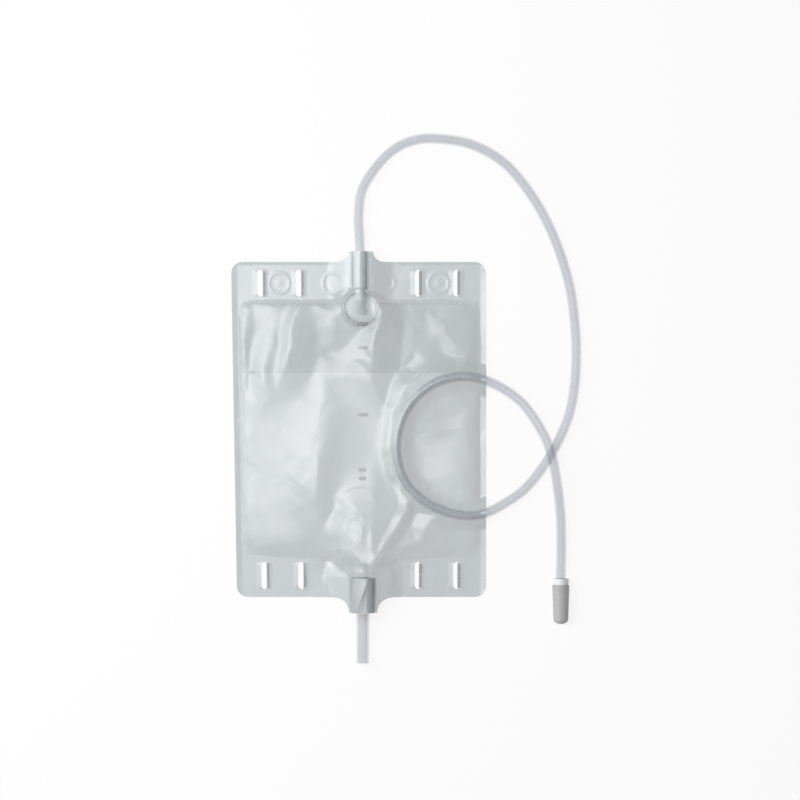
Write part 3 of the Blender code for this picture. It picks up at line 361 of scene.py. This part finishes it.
def creased(x, y, chamber):
    """Height in millimetres of film that is flat between its ridges and valleys, with softened creases."""
    flat, faces, heights = folded_plan(chamber)
    total = np.zeros(x.shape)
    shifts = [(0, 0)]
    for radius, count in CREASE_RINGS:
        turns = [k * math.tau / count for k in range(count)]
        shifts += [(radius * math.cos(turn), radius * math.sin(turn)) for turn in turns]
    for dx, dy in shifts:
        px = x + dx
        py = y + dy
        height = np.full(x.shape, SHOULDER)
        for a, b, c in faces:
            (ax, ay), (bx, by), (cx, cy) = flat[a], flat[b], flat[c]
            near = np.flatnonzero((px >= min(ax, bx, cx)) & (px <= max(ax, bx, cx))
                                  & (py >= min(ay, by, cy)) & (py <= max(ay, by, cy)))
            qx = px[near] - cx
            qy = py[near] - cy
            whole = (by - cy) * (ax - cx) + (cx - bx) * (ay - cy)
            u = ((by - cy) * qx + (cx - bx) * qy) / whole
            v = ((cy - ay) * qx + (ax - cx) * qy) / whole
            held = (u >= 0) & (v >= 0) & (u + v <= 1)
            height[near[held]] = (u * heights[a] + v * heights[b] + (1 - u - v) * heights[c])[held]
        total += height
    return total / len(shifts)


class Drape:
    """Heights of the middles of the films at points in plan: back, inner and front, and what shapes the front."""

    def __init__(self, x, y, path):
        self.x = x
        self.y = y
        edge = BAG_HALF + TENT_REACH
        loop = [(p.x, p.y) for p in path if p.x < edge and p.y < INNER_FILM_Y + TENT_REACH]
        self.to_tube, self.tube_side, _ = nearest(x, y, loop)
        self.outlet = np.abs(x - OUTLET_X)
        self.inlet = np.abs(x - INLET_X)
        self.outlet_share = 1 - ease((y - BARREL_TOP_Y) / PORT_FADE)
        self.inlet_share = 1 - ease((SLEEVE_END_Y - y) / VALVE_RADIUS)
        self.past_rim = np.hypot(x - VALVE[0], y - VALVE[1]) - VALVE_RADIUS - TENT_CLEARANCE
        self.chamber = chamber_outline()
        self.in_chamber = inside(x, y, self.chamber)
        from_weld, _, _ = nearest(x, y, self.chamber + self.chamber[:1])
        self.from_weld = np.where(self.in_chamber, from_weld, 0)
        self.near_tap = 1 - ease((np.hypot(x - TAP[0], y - TAP[1]) - TAP_REACH) / 0.020)
        self.upper_left = ease((y - 0.045) / 0.020) * ease((-0.008 - x) / 0.020)

        laid = self.laid_back()
        must = self.held_up()
        room = self.room(laid, must)
        self.back = laid + self.border()
        self.inner = self.back + SEAM
        self.set_lips()
        self.front = self.back + SEAM + room + self.lip * ~self.in_chamber + self.pleats()
        self.least = np.where(self.in_chamber, np.maximum(self.back + SEAM + 0.0002, must), 0)
        self.softening = self.in_chamber * self.softness()

    def laid_back(self):
        """The back film: over the tube, up to the seams of both ports, and flat on the table elsewhere."""
        height = tent(self.to_tube, TUBE_WRAP, TUBE_RADIUS, TENT_REACH)
        past_seam = (self.outlet - BARREL_WRAP - SEAM_STANDOFF) / OUTLET_WEB_WIDTH
        rise = (BARREL_AXIS - FILM / 2) * (1 - np.clip(past_seam, 0, 1)) - wrap(self.outlet, BARREL_WRAP)
        height = np.maximum(height, rise * self.outlet_share)
        seam = SLEEVE_WRAP + SEAM_STANDOFF
        past_seam = (self.inlet - seam) / (INLET_WEB_REACH - seam)
        rise = (SLEEVE_AXIS - FILM / 2) * (1 - ease(past_seam)) - wrap(self.inlet, SLEEVE_WRAP)
        height = np.maximum(height, rise * self.inlet_share)
        return FILM / 2 + np.minimum(height, STEEPEST * np.maximum(self.past_rim, 0))

    def held_up(self):
        """The least height of the front film over the stem, pushed in as far as it goes, and over the valve."""
        past = np.maximum(self.y - STEM_TOP_Y - STEM_TRAVEL, 0)
        over_stem = tent(self.outlet, STEM_WRAP, BARREL_AXIS, STEM_TENT)
        stem = np.maximum(over_stem - STEM_END_SLOPE * past, 0)
        share = np.clip(1 + self.past_rim / (VALVE_RADIUS + TENT_CLEARANCE), 0, 1)
        dome = SLEEVE_AXIS + (VALVE_HALF_HEIGHT + TENT_CLEARANCE) * (1 - share ** 4) ** 0.25
        dome = np.where(self.past_rim > 0, SLEEVE_AXIS - STEEPEST * self.past_rim, dome)
        return np.maximum(stem, dome)

    def folds(self):
        """The folds' height in metres. They wander least by the tap and by the tube."""
        near_tube = np.exp(-(self.to_tube / 0.020) ** 2)
        wander = WANDER - WANDER_HELD * np.maximum(self.near_tap, near_tube)
        places = []
        for place, table in ((1000 * self.x, WANDER_X), (1000 * self.y, WANDER_Y)):
            for share, size, seed in table:
                place = place + share * wander * waves(self.x, self.y, size, seed=seed)
            places.append(place)
        return creased(*places, self.chamber) / 1000

    def ripples(self):
        x = self.x
        y = self.y
        ripple = summed_waves(x, y, RIPPLES)
        lower_right = ease((-0.044 - y) / 0.016) * ease((x - 0.040) / 0.016)
        streaks = waves(x - 0.25 * y, y, 0.0095, (1, 2.6), 31.0)
        streaks = streaks + 0.5 * waves(x - 0.2 * y, y, 0.0055, (1, 2.0), 37.0)
        ripple += UPPER_LEFT_STREAKS * self.upper_left * streaks
        ripple += LOWER_RIGHT_STREAKS * lower_right * waves(x + 0.6 * y, y, 0.012, (1.8, 1), 35.0)
        for size, seed in CREASES:
            line = np.abs(waves(x + 0.5 * y, y, size, (1, 1.5), seed))
            along = 0.5 + 0.5 * waves(x, y, 0.05, seed=seed + 3)
            ripple += CREASE_HEIGHT * np.maximum(1 - line / CREASE_SHARE, 0) * along
        return ripple

    def room(self, laid, must):
        """The distance from the back film's seam height up to the front film."""
        at_outlet = wrap(self.outlet, BARREL_WRAP) * self.outlet_share
        at_inlet = wrap(self.inlet, SLEEVE_WRAP) * self.inlet_share
        held = 2 * np.maximum(at_outlet, at_inlet)
        near_tube = np.exp(-(self.to_tube / TENT_REACH) ** 2)
        plump = PLUMP * (1 - np.exp(-self.from_weld / PLUMP_REACH)) * (1 - 0.7 * near_tube)
        free = WELD_STEP[0] * np.clip(self.from_weld / WELD_STEP[1], 0, 1) + plump
        lifted = np.maximum(must, self.folds())
        reach = np.where(self.tube_side > 0, LOOP_REACH_OUTSIDE, LOOP_REACH_INSIDE)
        lifted = np.maximum(lifted, tent(self.to_tube, LOOP_TENT, TUBE_RADIUS, reach))
        free = np.maximum(free, lifted - laid)
        ripple = self.ripples()
        ripple *= 1 - 0.7 * (must >= lifted)
        free = free + ripple * ease(self.from_weld / 0.010)
        free = np.maximum(free, np.maximum(must - laid, 0.0004))
        in_it = np.maximum(held, np.minimum(free, held + STEEPEST * self.from_weld))
        return np.where(self.in_chamber, in_it, held + self.rings())

    def border(self):
        """Waves of the welded border, and its edges, which curl up."""
        x = self.x
        y = self.y
        away_from_ports = ease((np.minimum(self.outlet, self.inlet) - 0.016) / 0.02)
        border = summed_waves(x, y, BORDER_WAVES)
        at_side = np.clip(1 - (BAG_HALF - np.abs(x)) / 0.0050, 0, 1)
        at_head = np.clip(1 - (HEAD_Y - y) / 0.0026, 0, 1) * (y < HEAD_Y)
        curl = CURL * at_side * (1 + 0.6 * waves(x, y, 0.05, seed=14.0))
        curl = np.maximum(curl, CURL * at_head * away_from_ports)
        return np.where(self.in_chamber, 0, np.maximum(border, 0) * away_from_ports + curl)

    def pleats(self):
        pleat = 0.0
        for crest, left_width, right_width in PLEATS:
            away, side, top = nearest(1000 * self.x, 1000 * self.y, crest)
            width = np.where(side > 0, right_width, left_width)
            pleat = np.maximum(pleat, top * np.clip(1 - away / width, 0, 1) / 1000)
        return pleat

    def set_lips(self):
        """The height of the slots' lips, how far the right ones lean over the slot, and where those are."""
        self.lip = np.zeros(self.x.shape)
        self.lean = np.zeros(self.x.shape)
        self.lip_share = np.zeros(self.x.shape)
        for across, along in SLOTS:
            in_line = np.clip(1 - (np.abs(self.y - along) - SLOT_HALF_LENGTH) / SLOT_END, 0, 1)
            right = self.x - across - SLOT_HALF_WIDTH
            left = across - SLOT_HALF_WIDTH - self.x
            share = in_line * np.clip(1 - right / RIGHT_LIP[1], 0, 1) * (right > -SLOT_HALF_WIDTH)
            lean = LEAN_RIGHT_HALF if across > 0 else LEAN_LEFT_HALF
            self.lean = np.maximum(self.lean, lean * share)
            self.lip_share = np.maximum(self.lip_share, share)
            self.lip = np.maximum(self.lip, RIGHT_LIP[0] * share)
            share = in_line * np.clip(1 - left / LEFT_LIP[1], 0, 1) * (left > -SLOT_HALF_WIDTH)
            self.lip = np.maximum(self.lip, LEFT_LIP[0] * share)

    def rings(self):
        best = np.zeros(self.x.shape)
        for from_middle in RING_X:
            away = np.hypot(np.abs(self.x) - from_middle, self.y - HEAD_ROW_Y)
            best = np.maximum(best, RING[0] * (1 - np.abs(away - RING_RADIUS) / RING[1]))
            best = np.maximum(best, RING_MIDDLE[0] * (1 - away / RING_MIDDLE[1]))
        return best

    def softness(self):
        """How far each point moves in a round of smoothing: most in the lower left, least along the folds."""
        near_loop = np.exp(-(self.to_tube / 0.012) ** 2)
        low_left = ease((0.070 - self.y) / 0.030) * ease((0.020 - self.x) / 0.020)
        low_right = 0.4 * ease((0.050 - self.y) / 0.030)
        low = 0.65 * np.maximum(low_left, low_right) * (1 - near_loop)
        soft = np.maximum(0.06 * near_loop, low) * (1 - self.near_tap)
        soft = soft + 0.35 * self.near_tap * ease((0.013 - self.x) / 0.006)
        return np.maximum(soft, 0.05 + 0.10 * self.upper_left)


# Paths and meshes

def smooth_path(points, spacing):
    ends = [2 * points[0] - points[1], *points, 2 * points[-1] - points[-2]]
    fine = []
    for a, b, c, d in zip(ends, ends[1:], ends[2:], ends[3:]):
        for i in range(24):
            t = i / 24
            fine.append(0.5 * (2 * b + (c - a) * t + (2 * a - 5 * b + 4 * c - d) * t * t
                               + (3 * b - a - 3 * c + d) * t ** 3))
    fine.append(points[-1])
    travelled = [0.0]
    for a, b in zip(fine, fine[1:]):
        travelled.append(travelled[-1] + (b - a).length)
    count = round(travelled[-1] / spacing)
    result = []
    i = 0
    for k in range(count + 1):
        wanted = travelled[-1] * k / count
        while i < len(fine) - 2 and travelled[i + 1] < wanted:
            i += 1
        part = (wanted - travelled[i]) / (travelled[i + 1] - travelled[i])
        result.append(fine[i].lerp(fine[i + 1], part))
    return result


def add_object(name, mesh, body, slot, *materials):
    made = bpy.data.objects.new(name, mesh)
    bpy.context.scene.collection.objects.link(made)
    for finish in materials:
        mesh.materials.append(finish)
    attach(made, body)
    return made


def has_detail(place):
    """Whether a place is by a slot, a ring, the barrel, the tap's folds or a curled edge."""
    by_slot = min(math.hypot(place.x - x, (place.y - y) / 2) for x, y in SLOTS) < 0.008
    by_ring = abs(place.y - HEAD_ROW_Y) < 0.011 and min(abs(abs(place.x) - r) for r in RING_X) < 0.011
    by_barrel = abs(place.x - OUTLET_X) < 0.016 and place.y < -0.09
    by_tap = abs(place.x - TAP[0]) < 0.034 and -0.100 < place.y < -0.028
    by_edge = BAG_HALF - abs(place.x) < 0.0015 or 0 < HEAD_Y - place.y < 0.002
    return by_slot or by_ring or by_barrel or by_tap or by_edge


def film_mesh(node, longest):
    """The upper side of one film of the model, with its long edges divided."""
    bm = bmesh.new()
    bm.from_mesh(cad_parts[node].data)
    bmesh.ops.remove_doubles(bm, verts=bm.verts, dist=1e-6)
    down = [f for f in bm.faces if f.normal.z < 0.05]
    bmesh.ops.delete(bm, geom=down, context="FACES")
    for _ in range(6):
        long_ones = []
        for edge in bm.edges:
            a, b = edge.verts[0].co, edge.verts[1].co
            limit = min(longest, FINE_EDGE) if has_detail((a + b) / 2) else longest
            if (a - b).xy.length > limit:
                long_ones.append(edge)
        if not long_ones:
            break
        bmesh.ops.subdivide_edges(bm, edges=long_ones, cuts=1)
        bmesh.ops.triangulate(bm, faces=[f for f in bm.faces if len(f.verts) > 3])
    mesh = bpy.data.meshes.new(node)
    bm.to_mesh(mesh)
    bm.free()
    return mesh


def plan_points(mesh):
    """The mesh's points, and where they were in plan before the left edge was drawn in."""
    co = np.zeros(len(mesh.vertices) * 3)
    mesh.vertices.foreach_get("co", co)
    co = co.reshape(-1, 3)
    share = np.clip((HEAD_Y - co[:, 1]) / BAG_LENGTH, 0, 1)
    flat_x = np.where(co[:, 0] < 0, co[:, 0] / (1 - LEFT_DRAWN_IN / BAG_HALF * share), co[:, 0])
    return co, flat_x


def relaxed(mesh, heights, share, least, rounds):
    """Heights after each point has moved towards the middle of its neighbours, never below the least."""
    ends = np.zeros(len(mesh.edges) * 2, int)
    mesh.edges.foreach_get("vertices", ends)
    first, second = ends.reshape(-1, 2).T
    size = len(heights)
    count = np.bincount(first, minlength=size) + np.bincount(second, minlength=size)
    for _ in range(rounds):
        total = np.bincount(first, heights[second], size) + np.bincount(second, heights[first], size)
        heights = np.maximum(heights + share * (total / count - heights), least)
    return heights


def paint_lip_shade(mesh, drape):
    """Give the cores of the slots' right lips the film's second material, a darker, more opaque film that paints
    the shade beside each slot.
    """
    for face in mesh.polygons:
        leans = [drape.lean[i] for i in face.vertices]
        if sum(leans) > LEANING_FACE * len(leans) * max(leans) > 0:
            # material 1 is the painted shade: the darker, more opaque film
            face.material_index = int(max(drape.lip_share[i] for i in face.vertices) > LIP_CORE)


def make_film(name, node, layer, path, longest, finish, lip_shade_finish):
    mesh = film_mesh(node, longest)
    co, flat_x = plan_points(mesh)
    drape = Drape(flat_x, co[:, 1], path)
    heights = getattr(drape, layer)
    if layer == "front":
        heights = relaxed(mesh, heights, drape.softening, drape.least, SMOOTHING_ROUNDS)
    co[:, 2] = heights
    co[:, 0] -= drape.lean
    mesh.vertices.foreach_set("co", co.ravel())
    mesh.update()
    mesh.shade_smooth()
    film = add_object(name, mesh, "bag", "clear_film", finish, lip_shade_finish)
    # the second material is painted shade on the slots' right lips
    paint_lip_shade(mesh, drape)
    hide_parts(node)
    return film


def make_tube(path, finish):
    """Hollow tube with flat ends along the path."""
    points = []
    side = Vector((1, 0, 0))
    for i, place in enumerate(path):
        ahead = (path[min(i + 1, len(path) - 1)] - path[max(i - 1, 0)]).normalized()
        side = (side - ahead * side.dot(ahead)).normalized()
        up = ahead.cross(side)
        points.append((place, side, up))
    verts = []
    faces = []
    for radius in (TUBE_RADIUS, TUBE_BORE):
        for place, side, up in points:
            for k in range(TUBE_SIDES):
                a = math.tau * k / TUBE_SIDES
                verts.append(place + radius * (math.cos(a) * side + math.sin(a) * up))
    count = len(points)
    inner = count * TUBE_SIDES
    for i in range(count - 1):
        for k in range(TUBE_SIDES):
            a = i * TUBE_SIDES + k
            b = i * TUBE_SIDES + (k + 1) % TUBE_SIDES
            faces.append((a, b, b + TUBE_SIDES, a + TUBE_SIDES))
            faces.append((inner + b, inner + a, inner + a + TUBE_SIDES, inner + b + TUBE_SIDES))
    last = (count - 1) * TUBE_SIDES
    for k in range(TUBE_SIDES):
        n = (k + 1) % TUBE_SIDES
        faces.append((n, k, inner + k, inner + n))
        faces.append((last + k, last + n, inner + last + n, inner + last + k))
    mesh = bpy.data.meshes.new("inlet_tube_hollow")
    mesh.from_pydata([tuple(v) for v in verts], [], faces)
    mesh.update()
    mesh.shade_smooth()
    mesh.set_sharp_from_angle(angle=math.radians(50))
    tube = add_object("inlet_tube_hollow", mesh, "bag", "soft_clear", finish)
    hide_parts("inlet_tube")
    return tube


def make_number(number, y, surface, finish):
    """One number of the scale, printed on the front film."""
    data = bpy.data.curves.new(f"scale_{number}", "FONT")
    data.body = number
    data.size = SCALE_SIZE
    data.align_x = "CENTER"
    data.align_y = "CENTER"
    data.resolution_u = 3
    text = bpy.data.objects.new(f"scale_{number}", data)
    bpy.context.scene.collection.objects.link(text)
    text.location = (SCALE_X, y, 0)
    bpy.context.view_layer.update()
    mesh = bpy.data.meshes.new_from_object(text.evaluated_get(bpy.context.evaluated_depsgraph_get()))
    bpy.data.objects.remove(text)
    bm = bmesh.new()
    bm.from_mesh(mesh)
    for _ in range(3):
        long_ones = [e for e in bm.edges if e.calc_length() > SCALE_EDGE]
        bmesh.ops.subdivide_edges(bm, edges=long_ones, cuts=1)
        bmesh.ops.triangulate(bm, faces=bm.faces)
    for vertex in bm.verts:
        vertex.co.x += SCALE_X
        vertex.co.y += y
        found = surface.ray_cast(Vector((vertex.co.x, vertex.co.y, 0.1)), Vector((0, 0, -1)))[0]
        vertex.co.z = found.z + INK_HEIGHT
    bm.to_mesh(mesh)
    bm.free()
    mesh.materials.clear()
    add_object(f"scale_{number}", mesh, "bag", "clear_film", finish)


# Materials

def new_material(name, colour, roughness, alpha=1.0, ior=1.47, grain=900, tone=0.06, bump=0.02, bump_size=400):
    """Plastic whose colour and roughness vary slightly, with a fine unevenness in its surface."""
    made = bpy.data.materials.new(name)
    made.use_nodes = True
    tree = made.node_tree
    shader = tree.nodes["Principled BSDF"]
    shader.inputs["Alpha"].default_value = alpha
    shader.inputs["IOR"].default_value = ior
    place = tree.nodes.new("ShaderNodeTexCoord")
    spots = tree.nodes.new("ShaderNodeTexNoise")
    spots.inputs["Scale"].default_value = grain
    spots.inputs["Detail"].default_value = 3
    tree.links.new(place.outputs["Object"], spots.inputs["Vector"])
    ramp = tree.nodes.new("ShaderNodeValToRGB")
    dark, light = ramp.color_ramp.elements
    dark.position = 0.3
    light.position = 0.7
    dark.color = (*[c * (1 - tone) for c in colour], 1)
    light.color = (*[min(1, c * (1 + tone)) for c in colour], 1)
    tree.links.new(spots.outputs["Fac"], ramp.inputs["Fac"])
    tree.links.new(ramp.outputs["Color"], shader.inputs["Base Color"])
    rough = tree.nodes.new("ShaderNodeMapRange")
    rough.inputs["To Min"].default_value = roughness * 0.8
    rough.inputs["To Max"].default_value = roughness * 1.2
    tree.links.new(spots.outputs["Fac"], rough.inputs["Value"])
    tree.links.new(rough.outputs["Result"], shader.inputs["Roughness"])
    uneven = tree.nodes.new("ShaderNodeTexNoise")
    uneven.inputs["Scale"].default_value = bump_size
    uneven.inputs["Detail"].default_value = 4
    tree.links.new(place.outputs["Object"], uneven.inputs["Vector"])
    surface = tree.nodes.new("ShaderNodeBump")
    surface.inputs["Strength"].default_value = bump
    surface.inputs["Distance"].default_value = 0.001
    tree.links.new(uneven.outputs["Fac"], surface.inputs["Height"])
    tree.links.new(surface.outputs["Normal"], shader.inputs["Normal"])
    return made


def new_film(name, colour, roughness, alpha, ior, tone=0.04):
    """Clear film, whose unevenness is coarser than that of moulded plastic."""
    return new_material(name, colour, roughness, alpha, ior, grain=60, tone=tone, bump=0.06, bump_size=160)


def paint(node, finish):
    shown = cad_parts[node]
    shown.data.materials.clear()
    shown.data.materials.append(finish)


# Scene

def make_camera():
    data = bpy.data.cameras.new("camera")
    data.sensor_width = SENSOR_WIDTH
    data.lens = SENSOR_WIDTH * CAMERA_HEIGHT / VIEW_WIDTH
    camera = bpy.data.objects.new("camera", data)
    camera.location = (*VIEW_CENTRE, CAMERA_HEIGHT)
    bpy.context.scene.collection.objects.link(camera)
    bpy.context.scene.camera = camera


def seen_directly(tree):
    """One for what the camera sees, directly, mirrored or through something clear."""
    rays = tree.nodes.new("ShaderNodeLightPath")
    total = rays.outputs["Is Camera Ray"]
    for name in ("Is Glossy Ray", "Is Transmission Ray"):
        either = tree.nodes.new("ShaderNodeMath")
        either.operation = "MAXIMUM"
        tree.links.new(total, either.inputs[0])
        tree.links.new(rays.outputs[name], either.inputs[1])
        total = either.outputs["Value"]
    return total


def make_floor():
    mesh = bpy.data.meshes.new("floor")
    corners = [(x * FLOOR_HALF, y * FLOOR_HALF, FLOOR_Z) for x, y in ((-1, -1), (1, -1), (1, 1), (-1, 1))]
    mesh.from_pydata(corners, [], [(0, 1, 2, 3)])
    floor = bpy.data.objects.new("floor", mesh)
    bpy.context.scene.collection.objects.link(floor)
    made = bpy.data.materials.new("floor")
    made.use_nodes = True
    tree = made.node_tree
    tree.nodes.remove(tree.nodes["Principled BSDF"])
    plain = tree.nodes.new("ShaderNodeBsdfDiffuse")
    plain.inputs["Color"].default_value = (0.95, 0.95, 0.95, 1)
    glow = tree.nodes.new("ShaderNodeEmission")
    mix = tree.nodes.new("ShaderNodeMixShader")
    share = tree.nodes.new("ShaderNodeMath")
    share.operation = "MULTIPLY"
    share.inputs[1].default_value = FLOOR_GLOW
    tree.links.new(seen_directly(tree), share.inputs[0])
    tree.links.new(share.outputs["Value"], mix.inputs["Fac"])
    tree.links.new(plain.outputs["BSDF"], mix.inputs[1])
    tree.links.new(glow.outputs["Emission"], mix.inputs[2])
    tree.links.new(mix.outputs["Shader"], tree.nodes["Material Output"].inputs["Surface"])
    mesh.materials.append(made)


def make_world():
    world = bpy.data.worlds.new("world")
    bpy.context.scene.world = world
    world.use_nodes = True
    tree = world.node_tree
    back = tree.nodes["Background"]
    back.inputs["Color"].default_value = (1, 1, 1, 1)
    span = tree.nodes.new("ShaderNodeMapRange")
    span.inputs["To Min"].default_value = AMBIENT
    span.inputs["To Max"].default_value = 1.0
    tree.links.new(seen_directly(tree), span.inputs["Value"])
    tree.links.new(span.outputs["Result"], back.inputs["Strength"])


def add_lamp(name, share, azimuth, elevation, size):
    """A square lamp that gives a level surface that share of its written colour."""
    data = bpy.data.lights.new(name, "AREA")
    data.size = size
    data.energy = share * math.pi ** 2 * LAMP_DISTANCE ** 2 / math.sin(math.radians(elevation))
    lamp = bpy.data.objects.new(name, data)
    a = math.radians(azimuth)
    e = math.radians(elevation)
    way = Vector((math.cos(e) * math.cos(a), math.cos(e) * math.sin(a), math.sin(e)))
    lamp.location = Vector(LAMP_AIM) + LAMP_DISTANCE * way
    lamp.rotation_euler = way.to_track_quat("Z", "Y").to_euler()
    bpy.context.scene.collection.objects.link(lamp)


bpy.context.scene.view_settings.view_transform = "Standard"
make_camera()

route = [Vector((INLET_X, SOCKET_FLOOR_Y, SLEEVE_AXIS)), Vector((INLET_X, NECK_TOP_Y, SLEEVE_AXIS))]
route += [Vector((x, y, TUBE_RADIUS + height)) for x, y, height in TUBE_ROUTE]
route += [Vector((*CONNECTOR_TOP, CAP_MOUTH_RADIUS)),
          Vector((CONNECTOR_TOP[0], CONNECTOR_FLOOR_Y, CAP_MOUTH_RADIUS))]
coarse_path = smooth_path(route, DRAPE_STEP)
tube_line = smooth_path(route, TUBE_STEP)

clear_film = new_film("clear_film", (0.195, 0.252, 0.280), 0.35, alpha=0.385, ior=2.30, tone=0.05)
# Painted shade: a darker, more opaque film on the slots' right lips, which darkens the right side of each slot
lip_shade_film = new_film("lip_shade_film", (0.32, 0.35, 0.37), 0.34, alpha=0.62, ior=1.53)
thin_film = new_film("thin_film", (0.34, 0.38, 0.41), 0.34, alpha=0.18, ior=1.60)
soft_clear = new_material("soft_clear", (0.36, 0.40, 0.44), 0.30, alpha=0.21, ior=1.8)
tube_clear = new_material("tube_clear", (0.27, 0.31, 0.41), 0.30, alpha=0.18, ior=1.7)
sleeve_clear = new_material("sleeve_clear", (0.93, 0.94, 0.955), 0.45, grain=200, tone=0.05)
rigid_clear = new_material("rigid_clear", (0.80, 0.84, 0.86), 0.12, alpha=0.03, ior=2.2)
frosted = new_material("frosted", (0.93, 0.94, 0.95), 0.35)
silicone = new_material("silicone", (0.72, 0.74, 0.75), 0.40)
rubber = new_material("rubber", (0.05, 0.05, 0.055), 0.55)
white_plastic = new_material("white_plastic", (0.80, 0.81, 0.82), 0.35)
grey_plastic = new_material("grey_plastic", (0.46, 0.46, 0.465), 0.32)
barrel_grey = new_material("barrel_grey", (0.70, 0.70, 0.705), 0.20)
ink = new_material("scale_ink", (0.08, 0.085, 0.09), 0.5, alpha=0.70)

tube = make_tube(tube_line, tube_clear)

front = make_film("front_film_sheet", "front_film", "front", coarse_path, FRONT_EDGE, clear_film, lip_shade_film)
back = make_film("back_film_sheet", "back_film", "back", coarse_path, BACK_EDGE, clear_film, lip_shade_film)
inner = make_film("anti_reflux_sheet", "anti_reflux_film", "inner", coarse_path, BACK_EDGE, thin_film, lip_shade_film)

paint("inlet_sleeve", sleeve_clear)
paint("valve_lower_shell", frosted)
paint("valve_upper_shell", rigid_clear)
paint("duckbill_valve", silicone)
paint("tube_connector", white_plastic)
paint("connector_cap", grey_plastic)
paint("outlet_barrel", barrel_grey)
paint("valve_stem", rigid_clear)
paint("stem_seal_upper", rubber)
paint("stem_seal_lower", rubber)
paint("outlet_tube", soft_clear)

surface = BVHTree.FromObject(front, bpy.context.evaluated_depsgraph_get())
for number, y in SCALE:
    make_number(number, y, surface, ink)

make_floor()
make_world()
add_lamp("key", share=0.56, azimuth=155, elevation=66, size=0.9)
add_lamp("side", share=0.18, azimuth=165, elevation=38, size=1.0)
add_lamp("low", share=0.05, azimuth=170, elevation=14, size=0.9)
